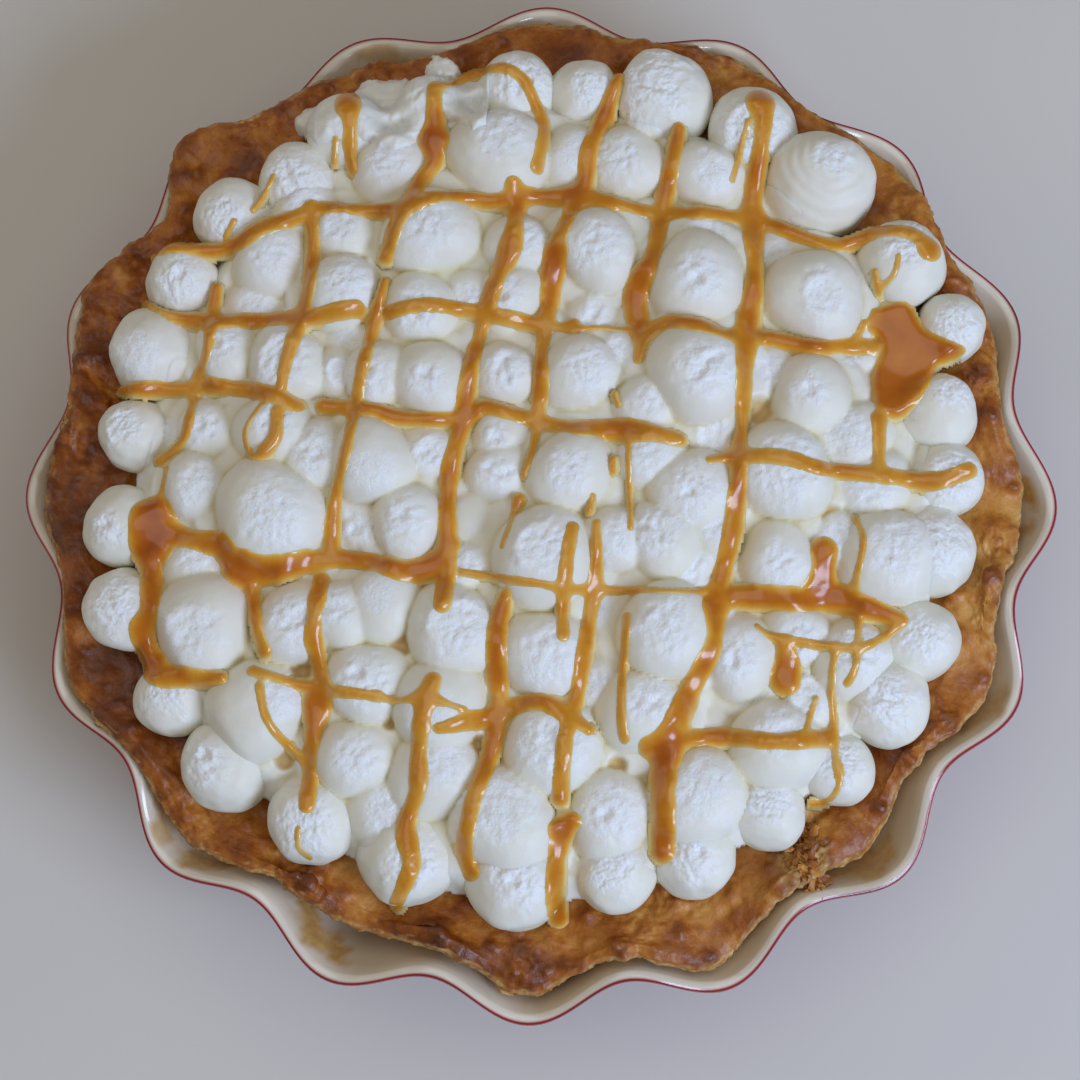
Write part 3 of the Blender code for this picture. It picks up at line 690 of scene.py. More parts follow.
def sideRelief(dollop, px, py):
    # the soft sides: a faint unevenness, and on a few the nozzle's turns
    x, y = dollop[:2]
    height = 0.14 * wobble(px, py, 0, 2.8, x) + 0.20 * wobble(px, py, 0, 6.0, y)
    if (x, y) in creamSizes["swirled"]:
        tip = tipOf(dollop)
        dx, dy = px - tip["x"], py - tip["y"]
        distance = math.hypot(dx, dy) + 0.8 * wobble(px, py, 0, 7)
        height += creamSizes["swirled"][(x, y)] * math.sin(distance * math.tau / 2.9 + math.atan2(dy, dx))
    return height


def dollopShape(dollop):
    # a round that is cut flat below, fuller at its foot, and pulled out of true
    x, y, diameter, lift = dollop
    radius, middle = diameter / 2, middleHeight(x, y, lift)
    draw = random.Random(x * 17 + y * 5)
    grain, longer, seed = draw.uniform(0, math.pi), draw.uniform(0.96, 1.05), draw.uniform(0, 50)
    shape = bmesh.new()
    bmesh.ops.create_icosphere(shape, subdivisions=creamSizes["detail"], radius=1.0)
    cut = bmesh.ops.bisect_plane(shape, geom=shape.verts[:] + shape.edges[:] + shape.faces[:],
                                 plane_co=(0, 0, -0.8), plane_no=(0, 0, -1), clear_outer=True)["geom_cut"]
    bmesh.ops.edgeloop_fill(shape, edges=[part for part in cut if isinstance(part, bmesh.types.BMEdge)])
    bmesh.ops.triangulate(shape, faces=shape.faces)
    for corner in shape.verts:
        way = corner.co.copy()
        if way.z > -0.79:
            way.normalize()
        flat = math.hypot(way.x, way.y)
        if way.z < 0 and flat > 0.001:
            keep = (1 - abs(way.z) ** 3.0) ** (1 / 3.0) / flat
            way.x, way.y = way.x * keep, way.y * keep
        swell = 1 + 0.10 * noise.noise(way * 1.1 + Vector((seed, 0, 0)))
        swell += 0.03 * noise.noise(way * 2.6 + Vector((0, seed, 0)))
        across = (way.x * math.cos(grain) + way.y * math.sin(grain)) * longer
        along = (way.y * math.cos(grain) - way.x * math.sin(grain)) / longer
        px = x + radius * swell * (across * math.cos(grain) - along * math.sin(grain))
        py = y + radius * swell * (across * math.sin(grain) + along * math.cos(grain))
        pz = middle + radius * way.z * creamSizes["squat"] * (1 + 0.5 * (swell - 1))
        if way.z > 0.1:
            share, relief = tipRelief(dollop, px, py)
            pz += share * 0.3 * (middle + radius * 0.90 - pz) + relief
            pz += smoothStep(0.1, 0.4, way.z) * (1 - share) * sideRelief(dollop, px, py)
        corner.co = (px * mm, py * mm, min(pz, creamSizes["topLimit"]) * mm)
    bmesh.ops.recalc_face_normals(shape, faces=shape.faces)
    return meshFrom(shape, "loose")


def whippedCream():
    # whipped dairy cream: a light, dense foam that lets light in a few millimetres, so shadows are soft and
    # warm;
    # the nozzle leaves the sides smooth and ivory, and the torn tips scatter more and read blue white;
    # low on each dollop and in the creases a warm yellow grey is painted in as shade
    material, tree, place = newFinish("whipped dairy cream")
    names = "creaseShade", "tip", "gap"
    creaseShade, tip, gap = (addNode(tree, "Attribute", attribute_name=name) for name in names)
    patch = addNode(tree, "TexNoise", {"Vector": place, "Scale": 1 / (9 * mm), "Detail": 3.0})
    froth = addNode(tree, "TexNoise", {
        "Vector": place, "Scale": 1 / (0.9 * mm), "Detail": 3.0, "Roughness": 0.6})
    shift = addNode(tree, "Math", {0: patch, 1: 0.5}, operation="SUBTRACT")
    depth = addNode(tree, "Math", {0: shift, 1: 0.3, 2: creaseShade}, operation="MULTIPLY_ADD")
    # painted shade: the ramp's darker, yellower stops colour the creases and the low sides of each dollop
    tone = addNode(tree, "ValToRGB", {"Fac": depth}, stops=(
        (0.0, "#E9E7DC"), (0.3, "#E5E1CE"), (0.65, "#DCD3B2"), (1.0, "#CBBA86")))
    fleck = addNode(tree, "Math", {0: froth, 1: 0.9, 2: 0.4}, operation="MULTIPLY_ADD")
    torn = addNode(tree, "Math", {0: fleck, 1: tip}, operation="MULTIPLY", use_clamp=True)
    bright = addNode(tree, "Mix", {0: torn, 6: tone, 7: linear("#F1F4F7")}, data_type="RGBA")
    seen = addNode(tree, "Mix", {0: gap, 6: bright, 7: linear("#D8BA84")}, data_type="RGBA")
    fluff = addNode(tree, "Math", {0: tip, 1: 0.5, 2: 0.1}, operation="MULTIPLY_ADD")
    bumps = addNode(tree, "Bump", {"Height": froth, "Strength": fluff, "Distance": 0.7 * mm})
    return finished(material, {
        "Base Color": seen, "Normal": bumps, "Roughness": 0.48, "IOR": 1.4, "Subsurface Weight": 0.3,
        "Subsurface Scale": 2.6 * mm, "Subsurface Radius": (1.0, 0.78, 0.5)})


cream = whippedCream()


def outerValues(mesh, group):
    # how low each corner lies on its dollop, which sets how much painted shade it gets, and how far it is on
    # a torn tip
    places = cornerPlaces(mesh) / mm
    share = np.full(len(places), -1.0)
    tips = np.zeros(len(places))
    for dollop in group:
        x, y, diameter, lift = dollop
        radius, middle = diameter / 2, middleHeight(x, y, lift)
        near = np.nonzero(np.hypot(places[:, 0] - x, places[:, 1] - y) < radius * 1.12)[0]
        rise = (places[near, 2] - middle) / radius
        share[near] = np.maximum(share[near], rise)
        for corner in near[rise > 0.3]:
            tips[corner] = max(tips[corner], tipRelief(dollop, places[corner, 0], places[corner, 1])[0])
    # painted shade: the lower a corner lies on its dollop, the darker and yellower it is coloured
    storeValues(mesh, "creaseShade", np.clip(0.28 - 0.5 * share, 0.0, 0.7))
    storeValues(mesh, "tip", tips)
    storeValues(mesh, "gap", np.zeros(len(places)))


def makeDollops():
    # the outer dollops bulge over the crust, so they are whole rounds
    pieces = []
    loose = bpy.data.collections.new("loose")
    bpy.context.scene.collection.children.link(loose)
    ordered = sorted(outerRing, key=lambda dollop: math.atan2(dollop[1], dollop[0]))
    size = math.ceil(len(ordered) / creamSizes["groups"])
    for number in range(creamSizes["groups"]):
        group = ordered[number * size:(number + 1) * size]
        first = newObject("loose", dollopShape(group[0]))
        for dollop in group[1:]:
            newObject("loose", dollopShape(dollop), loose)
        union = first.modifiers.new("union", "BOOLEAN")
        union.operation, union.solver = "UNION", "MANIFOLD"
        union.operand_type, union.collection = "COLLECTION", loose
        bpy.context.view_layer.update()
        joined = first.evaluated_get(bpy.context.evaluated_depsgraph_get())
        mesh = bpy.data.meshes.new_from_object(joined)
        for item in [first] + list(loose.objects):
            bpy.data.objects.remove(item)
        outerValues(mesh, group)
        name = "creamDollops%d" % (number + 1)
        pieces.append(placePiece(name, mesh, cream, "whipped_cream"))
    bpy.data.collections.remove(loose)
    return pieces


creamPieces = makeDollops()


# the rest of the heap: every dollop a full dome that presses against its neighbours
heapSizes = {
    "reach": 105.0,
    "spacing": 0.62,
    "widen": 1.07,  # how much a dollop spreads under its neighbours
    "outerWiden": 0.99,
    "fullness": 2.2,  # 2 is a round dome, more is fuller at the shoulder
    "meeting": 4.5,  # how sharply two dollops meet, per millimetre
    "level": 80.0,
    "lopsided": (0.055, 0.035),
    "sunk": 0.6,  # the outer dollops' own rounds stand this much above the heap
    "bedWiden": 1.5,
    "bedRise": 0.30,
    "bedBlend": 0.8,
    "gapDepth": 3.2,
    # painted shade in the creases: how far the surface is blurred to find them, and how deep a crease must be
    # to get the full shade
    "creaseBlur": 1.9,  # millimetres
    "creaseDepth": 2.2,
    "falls": 99.5,  # the heap falls away outside this radius
    "fallPower": 1.4,
    "fallDepth": 0.55,
    "bottom": 60.0,
}


def blurred(field, size):
    span = np.arange(-math.ceil(3 * size), math.ceil(3 * size) + 1)
    kernel = np.exp(-0.5 * (span / size) ** 2)
    kernel /= kernel.sum()
    for axis in (0, 1):
        field = np.apply_along_axis(lambda row: np.convolve(row, kernel, "same"), axis, field)
    return field


def heapHeights(places):
    # each point's height, the dollop that it belongs to, and how much of a gap it is. Rounds and
    # the bed under them meet in a soft maximum, summed about a level so that nothing overflows.
    level = heapSizes["level"]
    px, py = places[:, 0].copy(), places[:, 1].copy()
    px += [0.9 * wobble(x, y, 0, 13, 2.0) for x, y in places]
    py += [0.9 * wobble(x, y, 0, 13, 9.0) for x, y in places]
    total, bed, best = np.zeros(len(places)), np.zeros(len(places)), np.full(len(places), -1e3)
    owner = np.zeros(len(places), dtype=int)
    full, blend, bedBlend = heapSizes["fullness"], heapSizes["meeting"], heapSizes["bedBlend"]
    for number, (x, y, diameter, lift) in enumerate(dollops + dabs):
        radius, middle = diameter / 2, middleHeight(x, y, lift)
        near = np.nonzero(np.hypot(px - x, py - y) < radius * 2.3)[0]
        distance = np.hypot(px[near] - x, py[near] - y)
        turn = np.arctan2(py[near] - y, px[near] - x)
        draw = random.Random(x * 19 + y)
        wide = 1 + sum(amount * np.cos(waves * turn + draw.uniform(0, math.tau))
                       for waves, amount in zip((2, 3), heapSizes["lopsided"]))
        outer = number < len(outerRing)
        wide = wide * radius * heapSizes["outerWiden" if outer else "widen"]
        reach = distance / wide
        dome = np.clip(1 - reach ** full, 0, 1) ** (1 / full)
        height = middle + radius * creamSizes["squat"] * dome - 2.4 * radius * np.clip(reach - 0.985, 0, None)
        if outer:
            height -= heapSizes["sunk"]
        total[near] += np.exp((height - level) * blend)
        owner[near] = np.where(height > best[near], number, owner[near])
        best[near] = np.maximum(best[near], height)
        reach = distance / radius / heapSizes["bedWiden"]
        height = middle + radius * heapSizes["bedRise"] * np.sqrt(np.clip(1 - reach ** 2, 0, 1))
        height -= 1.6 * radius * np.clip(reach - 0.95, 0, None)
        bed[near] += np.exp((height - level) * bedBlend)
    bedHeight = np.log(bed + 1e-4) / bedBlend
    seen = np.zeros(len(places))
    for x, y, width in creamSizes["gaps"]:
        away = np.hypot(px - x, py - y) / width
        seen = np.maximum(seen, np.clip((0.85 - away) / 0.45, 0, 1))
    domes = level + np.log(total + 1e-30) / blend
    total += np.exp((bedHeight - heapSizes["gapDepth"] * seen) * blend)
    gaps = seen * np.clip((level + bedHeight - 0.3 - domes) / 0.8, 0, 1)
    return level + np.log(total + 1e-15) / blend, owner, gaps


def makeHeap():
    shape = bmesh.new()
    reach, spacing = heapSizes["reach"], heapSizes["spacing"]
    cells = round(2 * reach / spacing)
    bmesh.ops.create_grid(shape, x_segments=cells, y_segments=cells, size=reach)
    outside = [corner for corner in shape.verts if math.hypot(corner.co.x, corner.co.y) > reach]
    bmesh.ops.delete(shape, geom=outside, context="VERTS")
    loose = [corner for corner in shape.verts if not corner.link_faces]
    bmesh.ops.delete(shape, geom=loose, context="VERTS")
    places = np.array([corner.co[:2] for corner in shape.verts])
    heights, owner, gaps = heapHeights(places)
    tips = np.zeros(len(places))
    for number, (x, y) in enumerate(places):
        dollop = (dollops + dabs)[owner[number]]
        if owner[number] < len(dollops):
            tips[number], relief = tipRelief(dollop, x, y)
            dollopX, dollopY, diameter, lift = dollop
            plateau = middleHeight(dollopX, dollopY, lift) + diameter * 0.45
            heights[number] += tips[number] * 0.3 * (plateau - heights[number]) + relief
        heights[number] += (1 - tips[number]) * sideRelief(dollop, x, y)
    ring = np.hypot(places[:, 0], places[:, 1])
    heights -= np.clip(ring - heapSizes["falls"], 0, None) ** heapSizes["fallPower"] * heapSizes["fallDepth"]
    heights = np.clip(heights, heapSizes["bottom"] + 1.0, creamSizes["topLimit"])
    columns = tuple(np.rint((places + reach) / (2 * reach / cells)).astype(int).T)
    field = np.full((cells + 1, cells + 1), 66.0)
    field[columns] = heights
    # painted shade: points lying below their blurred surroundings are coloured darker and yellower
    hollow = blurred(field, heapSizes["creaseBlur"] / spacing)[columns] - heights
    creaseShades = np.clip(hollow / heapSizes["creaseDepth"], 0, 1)
    for name, values in (("creaseShade", creaseShades), ("tip", tips), ("gap", gaps)):
        layer = shape.verts.layers.float.new(name)
        for corner, value in zip(shape.verts, values):
            corner[layer] = value
    for corner, height in zip(shape.verts, heights):
        corner.co.z = height
    rim = [edge for edge in shape.edges if len(edge.link_faces) == 1]
    skirt = bmesh.ops.extrude_edge_only(shape, edges=rim)["geom"]
    for part in skirt:
        if isinstance(part, bmesh.types.BMVert):
            part.co.z = heapSizes["bottom"]
    bmesh.ops.edgeloop_fill(shape, edges=[part for part in skirt if isinstance(part, bmesh.types.BMEdge)])
    bmesh.ops.recalc_face_normals(shape, faces=shape.faces)
    bmesh.ops.scale(shape, vec=(mm, mm, mm), verts=shape.verts)
    return placePiece("creamHeap", shape, cream, "whipped_cream")


creamHeap = makeHeap()


# drizzle: width of each strand, then x, y and, where it changes, width along it. The readings
# are on a level plane, and each point slides down the line of sight to the cream it lies on.
drizzleSizes = {
    "plane": 78.0,
    "slide": (0.042, -0.171, 768.0),  # the middle line of sight's lean, and how far off the eye is
    "step": 0.9,  # between the points of a strand
    "centre": (0, 0),
    "reach": 117.0,
    "spacing": 0.6,
    "fillet": 1.5,  # per millimetre: how tightly a crossing's corners are filled
    "widen": 0.93,
    "usual": 4.6,
    "contrast": 1.3,  # wide places are wider still, and thin ones thinner
    "thinnest": 1.7,
    "margin": 0.9,
    "bridge": 4.2,  # half the width of a crease that is bridged
    "poolBridge": 8.0,
    "smoothing": 7,
    "cling": 1.4,  # how far its edges sink along the cream
    "thin": 0.20,
    "swell": 0.165,
    "thickest": 1.9,
    "roundness": 0.82,
    "deep": 1.95,  # where the colour is darkest
    "below": 1.6,  # how far its underside sinks into what it lies on
    "thickness": 2.4,  # and where it bridges, how thick it is
    "poolHalf": 3.0,
    "across": (
        (4.5, ((-101, 60.5, 2.5), (-96, 63), (-88, 62), (-80, 63), (-73, 68, 6), (-64, 71), (-55, 74),
               (-45, 73), (-35, 74, 5.5), (-26, 77), (-13, 76), (-5, 77), (10, 77, 6), (22, 75), (30, 73),
               (44, 73), (52, 72), (60, 70), (75, 65), (82, 66), (90, 69), (97, 68), (101, 64, 5.5))),
        (5.0, ((-95, 44, 3), (-88, 43), (-80, 43), (-60, 44), (-52, 46), (-47, 47))),
        (1.8, ((-103, 48), (-99, 46), (-94, 44))),
        (4.5, ((-38, 46), (-28, 48), (-15, 46), (-5, 44), (2, 43))),
        (2.2, ((2, 43), (8, 42, 3.5), (13, 42), (20, 42), (27, 41))),
        (4.5, ((28, 41), (33, 44), (37, 44), (43, 43), (53, 40), (60, 40), (70, 38), (88, 38))),
        (4.5, ((-108, 24.5, 2.5), (-103, 25), (-90, 25), (-84, 26), (-70, 24), (-62, 21))),
        (4.5, ((-55, 21), (-42, 20), (-35, 18), (-18, 18), (-14, 21), (-8, 20), (0, 17.5), (8, 16),
               (15, 15.5, 6), (28, 15, 6), (37, 13, 4))),
        (4.5, ((45, 8, 3.5), (52, 9), (60, 9), (67, 8), (73, 6), (88, 4.5, 5), (102, 3, 5), (111, 6))),
        (6.0, ((-98, -12, 9), (-90, -14), (-80, -16, 7), (-77, -21), (-72, -23, 7), (-58, -20), (-50, -19, 5),
               (-40, -20, 5), (-32, -22), (-25, -20, 7), (-21, -15, 5))),
        (6.0, ((-98, -14), (-98, -33), (-100, -38), (-98, -44), (-96, -49), (-90, -50), (-79, -50, 4))),
        (2.7, ((-18, -22), (-4, -24), (3, -25), (10, -26), (28, -26), (46, -26))),
        (6.0, ((46, -30, 5), (52, -27), (68, -28), (75, -27, 7.5), (82, -29), (88, -31), (93, -33, 4.5))),
        (3.0, ((93, -33), (91, -36), (86, -39), (80, -40), (63, -38), (57, -35, 2))),
        (3.5, ((-71, -48), (-60, -51), (-54, -52), (-48, -53), (-39, -54))),
        (2.5, ((-39, -54), (-33, -55), (-27, -54, 4), (-17, -57, 1.5))),
        (3.0, ((-27, -54, 4.5), (-25, -50, 2.5))),
        (5.0, ((-23, -62, 3.5), (-15, -60), (-8, -58), (-3, -56), (3, -55), (8, -57), (15, -62, 3.5))),
        (5.0, ((30, -66), (45, -63), (62, -64), (75, -63))),
    ),
    "down": (
        (4.5, ((-51, 103, 6), (-50, 96), (-50, 90), (-49, 84, 3))),
        (1.8, ((-54, 92), (-54, 90), (-54, 86))),
        (1.8, ((-70, 82), (-72, 78), (-75, 73))),
        (1.8, ((-80, 70), (-82, 66))),
        (3.8, ((-28, 106), (-22, 108), (-17, 111), (-10, 112), (-5, 109), (-3, 105), (1, 96), (0, 90),
               (-1, 85))),
        (5.0, ((-28, 106, 4), (-28, 92, 6), (-28, 86), (-32, 80), (-37, 70), (-40, 61))),
        (5.0, ((20, 110, 4), (16, 98), (13, 91), (11, 79), (5, 66), (4, 60, 7), (3, 50), (1, 36, 4), (1, 28),
               (0, 14, 3.5), (-3, 3, 2.5))),
        (2.2, ((-4, -3, 4), (-6, -9), (-8, -15))),
        (5.0, ((-7, 80), (-6, 74), (-8, 62, 6), (-12, 52), (-15, 40, 4), (-17, 32), (-19, 17), (-22, 3),
               (-22, -20, 5.5), (-23, -30))),
        (5.0, ((36, 96, 4), (35, 90), (32, 75), (30, 63), (25, 50, 7), (27, 40), (26, 34, 3.5))),
        (5.0, ((57, 104, 7), (58, 98), (56, 82), (55, 73, 6), (56, 56), (54, 42, 6), (53, 18, 4), (52, 2),
               (50, -14), (47, -27, 6), (46, -40, 5), (41, -50, 6), (37, -60, 6.5), (35, -66, 7.6),
               (34, -74, 6.2), (34, -92, 6.2))),
        (1.6, ((54, 98), (52, 90), (50, 82))),
        (4.0, ((-40, 54, 3), (-43, 40), (-46, 26), (-48, 13), (-51, -2), (-52, -17, 5))),
        (5.0, ((-54, -25), (-56, -38), (-53, -50), (-54, -57, 7), (-55, -65), (-56, -82, 4.5))),
        (3.0, ((-69, -52), (-68, -58), (-65, -63), (-57, -71))),
        (1.8, ((-58, -88), (-58, -93), (-55, -95))),
        (4.5, ((-60, 74), (-59, 60), (-61, 46), (-65, 33), (-66, 26, 3))),
        (2.0, ((-71, 21), (-75, 14), (-73, 7), (-70, 9, 4.5), (-67, 13, 4.5), (-67, 19, 4))),
        (3.8, ((-84, 52), (-86, 34), (-88, 27), (-91, 12), (-97, 6))),
        (2.5, ((-95, 4), (-97, -6))),
        (4.0, ((-72, -26), (-70, -38), (-68, -43))),
        (5.0, ((-25, -50), (-28, -62), (-28, -78), (-31, -86), (-30, -92, 6), (-29, -97), (-33, -106, 4))),
        (5.0, ((-7, -28, 4), (-9, -40, 6), (-8, -55), (-10, -69), (-14, -80), (-16, -92), (-14, -98))),
        (4.0, ((10, -10), (8, -25), (8, -38))),
        (4.5, ((16, -9, 3), (16, -25), (14, -38), (12, -52), (9, -64), (8, -79, 5))),
        (5.0, ((11, -85), (8, -90), (7, -103), (8, -109))),
        (3.2, ((24, -33), (23, -57), (24, -64))),
        (1.8, ((24, 13), (24, 5), (25, -10))),
        (1.6, ((20, 8), (20, 5))),
        (1.6, ((15, -2), (14, -6))),
        (2.6, ((82, -7), (84, -13), (82, -24))),
        (2.6, ((83, -30), (82, -45), (80, -49))),
        (2.6, ((77, -40), (76, -48), (77, -67), (78, -72))),
        (2.4, ((78, -70), (78, -75), (75, -79), (71, -79.5))),
        (4.2, ((88, 19, 5), (88, 6, 3.5))),
        (1.8, ((72, -53), (70, -60))),
        (1.8, ((84, 44), (81, 38))),
        (1.6, ((20, 25), (21, 22))),
        (1.8, ((87, 58), (88, 52))),
        (6.4, ((65, -49), (65, -45), (64, -39, 4.5))),
        (6.6, ((74, -16), (74, -21), (73, -26, 8))),
        (1.5, ((89, 54), (92, 57), (93, 62))),
    ),
    "blobs": (  # x, y, radius
        (9, 43, 2.0), (64, -48, 3.6), (74, -15, 3.4), (-54, -57, 3.6), (57, 103, 3.8), (-98, -9, 6.0),
        (-96, -47, 3.6), (-98, -16, 6.0), (-28, 92, 4.2), (101, 64, 3.2), (34, -66, 4.2), (-51, 101, 3.4),
        (10, 77, 3.6), (55, 72, 3.6), (-74, -22, 4.6), (8, -87, 3.0),
    ),
    "poolOutline": ((86, 48), (95, 50), (100, 43), (110, 38), (108, 35), (103, 32.5), (101, 28), (97, 22),
                    (92, 19), (87, 22), (86, 30), (88, 38), (85, 43)),
}


underDrizzle = creamPieces + [creamHeap, bakedCrust, glazedDish]
ground = meshesTree(underDrizzle)
print("surface for the drizzle ready")


def groundHeight(x, y):
    place, _ = dropOnto(ground, x, y)
    return place.z / mm if place else 60.0


def slideToGround(x, y):
    px, py, height = x, y, bridgedHeight(x, y)
    for _ in range(3):
        fall = height - drizzleSizes["plane"]
        sx, sy, far = drizzleSizes["slide"]
        px, py = x + fall * (sx - x / far), y + fall * (sy - y / far)
        height = 0.5 * height + 0.5 * bridgedHeight(px, py)
    return px, py


def bentPath(points, width):
    # a smooth curve through the readings, with its width
    points = [(point[0], point[1], point[2] if len(point) > 2 else width) for point in points]
    ends = [points[0]] + points + [points[-1]]
    path = []
    for before, start, end, after in zip(ends, ends[1:], ends[2:], ends[3:]):
        count = max(2, round(math.hypot(end[0] - start[0], end[1] - start[1]) / drizzleSizes["step"]))
        for step in range(count):
            t = step / count
            path.append([0.5 * (2 * b + (c - a) * t + (2 * a - 5 * b + 4 * c - d) * t * t
                                + (3 * b - a - 3 * c + d) * t ** 3)
                         for a, b, c, d in zip(before, start, end, after)])
    path.append(list(points[-1]))
    return path


def strandPath(width, points, seed):
    # an unsteady hand: each strand's width and way waver along it
    path = []
    usual = drizzleSizes["usual"]
    for number, (x, y, wide) in enumerate(bentPath(points, width)):
        wide *= 1 + 0.14 * ripple(number * 0.13, seed, 0) + 0.07 * ripple(number * 0.4, seed, 4)
        x += 0.35 * ripple(number * 0.10, seed, 8)
        y += 0.35 * ripple(number * 0.10, seed, 12)
        wide = usual * (wide / usual) ** drizzleSizes["contrast"]
        path.append((*slideToGround(x, y), max(drizzleSizes["thinnest"], wide * drizzleSizes["widen"])))
    flat = np.array(path)
    for _ in range(4):
        flat[1:-1, :2] = 0.5 * flat[1:-1, :2] + 0.25 * (flat[:-2, :2] + flat[2:, :2])
    return flat


class pouredField:
    # how far each point of a level grid lies inside what was poured there, in millimetres
    def __init__(self, sizes):
        reach = sizes["reach"]
        self.cells = round(2 * reach / sizes["spacing"])
        self.low = np.array(sizes["centre"]) - reach
        self.spacing = 2 * reach / self.cells
        lines = np.arange(self.cells + 1) * self.spacing
        self.x, self.y = np.meshgrid(lines + self.low[0], lines + self.low[1], indexing="ij")
        self.fillet = sizes["fillet"]
        self.weight = np.zeros(self.x.shape)
        self.halves = np.zeros(self.x.shape)

    def add(self, inside, half):
        share = np.exp(self.fillet * inside)
        self.weight += share
        self.halves += share * half

    def addPath(self, path, margin=4.0):
        inside, halves = np.full(self.x.shape, -99.0), np.ones(self.x.shape)
        for x, y, wide in path:
            far = wide / 2 + margin
            first = np.maximum(0, np.floor((np.array((x, y)) - far - self.low) / self.spacing).astype(int))
            last = np.ceil((np.array((x, y)) + far - self.low) / self.spacing).astype(int) + 1
            window = slice(first[0], last[0]), slice(first[1], last[1])
            own = wide / 2 - np.hypot(self.x[window] - x, self.y[window] - y)
            halves[window] = np.where(own > inside[window], wide / 2, halves[window])
            inside[window] = np.maximum(inside[window], own)
        self.add(inside, halves)

    def addOutline(self, outline, half):
        crossed = np.zeros(self.x.shape, dtype=bool)
        away = np.full(self.x.shape, 99.0)
        for (x1, y1), (x2, y2) in zip(outline, outline[1:] + outline[:1]):
            dx, dy = x2 - x1, y2 - y1
            share = np.clip(((self.x - x1) * dx + (self.y - y1) * dy) / (dx ** 2 + dy ** 2), 0, 1)
            away = np.minimum(away, np.hypot(self.x - x1 - share * dx, self.y - y1 - share * dy))
            if y1 != y2:
                level = (y1 > self.y) != (y2 > self.y)
                crossed ^= level & (self.x < dx * (self.y - y1) / dy + x1)
        self.poolInside = np.where(crossed, away, -away)
        self.add(self.poolInside, half)

    def finish(self):
        weight = self.weight + 1e-30
        return np.log(weight) / self.fillet, self.halves / weight

    def sampled(self, reading):
        return np.array([[reading(x, y) for x, y in zip(*pair)] for pair in zip(self.x, self.y)])


def neighbourMean(field):
    return sum(np.roll(field, (dx, dy), (0, 1)) for dx in (-1, 0, 1) for dy in (-1, 0, 1)) / 9


def closed(field, radius):
    # fills what is narrower than a disk of this radius, in cells
    span = range(-math.ceil(radius), math.ceil(radius) + 1)
    shifts = [(dx, dy) for dx in span for dy in span if math.hypot(dx, dy) <= radius]
    raised = field
    for shift in shifts:
        raised = np.maximum(raised, np.roll(field, shift, (0, 1)))
    lowered = raised
    for shift in shifts:
        lowered = np.minimum(lowered, np.roll(raised, shift, (0, 1)))
    return lowered


drizzleField = pouredField(drizzleSizes)
bridgedGround = closed(drizzleField.sampled(groundHeight), drizzleSizes["bridge"] / drizzleField.spacing)


def bridgedHeight(x, y):
    reach, spacing = drizzleSizes["reach"], drizzleField.spacing
    return bridgedGround[round((x + reach) / spacing), round((y + reach) / spacing)]


def drapedSheet(field, inside, halves, sizes):
    # lays what was poured over the dressed pie: it bridges creases and clings at its edge
    corners = inside > -sizes["margin"]
    kept = corners[:-1, :-1] & corners[1:, :-1] & corners[:-1, 1:] & corners[1:, 1:]
    for _ in range(4):  # no two cells may meet at a corner alone
        a, b, c, d = kept[:-1, :-1], kept[1:, :-1], kept[:-1, 1:], kept[1:, 1:]
        slanted = (a & d & ~b & ~c) | (b & c & ~a & ~d)
        for part in (a, b, c, d):
            part |= slanted
    shape = bmesh.new()
    reach = field.cells * field.spacing / 2
    bmesh.ops.create_grid(shape, x_segments=field.cells, y_segments=field.cells, size=reach)
    bmesh.ops.translate(shape, vec=(field.low[0] + reach, field.low[1] + reach, 0), verts=shape.verts)

    def cellOf(point, half=0.0):
        return tuple(round((point[axis] - field.low[axis]) / field.spacing - half) for axis in (0, 1))

    unused = [face for face in shape.faces if not kept[cellOf(face.calc_center_median(), 0.5)]]
    bmesh.ops.delete(shape, geom=unused, context="FACES")
    ground = field.sampled(groundHeight)
    filled = closed(ground, sizes["bridge"] / field.spacing)
    if "poolBridge" in sizes:  # a pool lies across the creases as one sheet
        pool = np.clip(field.poolInside / 2 + 0.5, 0, 1)
        filled += pool * (closed(ground, sizes["poolBridge"] / field.spacing) - filled)
    for _ in range(sizes["smoothing"]):
        filled = neighbourMean(filled)
    lift = np.clip(filled - ground, 0, None)
    centred = np.clip(inside / halves, -1, 1)
    thick = np.minimum(sizes["thin"] + sizes["swell"] * 2 * halves, sizes["thickest"])
    layer = thick * np.clip(1 - (1 - np.clip(centred, 0, 1)) ** 2, 0, 1) ** sizes["roundness"]
    spread = np.clip(centred / 0.55, 0, 1)
    spread = spread * spread * (3 - 2 * spread)
    base = ground + lift - np.minimum(lift, sizes["cling"]) * (1 - spread)
    top = base + np.where(inside < 0, 1.3 * inside, layer)
    colour = (0.8 * layer + 0.10 * np.minimum(lift, 3.0) * spread) / sizes["deep"]
    depth = shape.verts.layers.float.new("depth")
    for corner in shape.verts:
        cell = cellOf(corner.co)
        corner.co.z = min(top[cell], creamSizes["topLimit"] + 0.1)
        corner[depth] = min(1.0, max(0.0, colour[cell]))
    below = bmesh.ops.extrude_face_region(shape, geom=shape.faces[:])["geom"]
    for part in below:
        if isinstance(part, bmesh.types.BMVert):
            part.co.z = max(ground[cellOf(part.co)] - sizes["below"], part.co.z - sizes["thickness"])
    bmesh.ops.recalc_face_normals(shape, faces=shape.faces)
    bmesh.ops.scale(shape, vec=(mm, mm, mm), verts=shape.verts)
    return shape


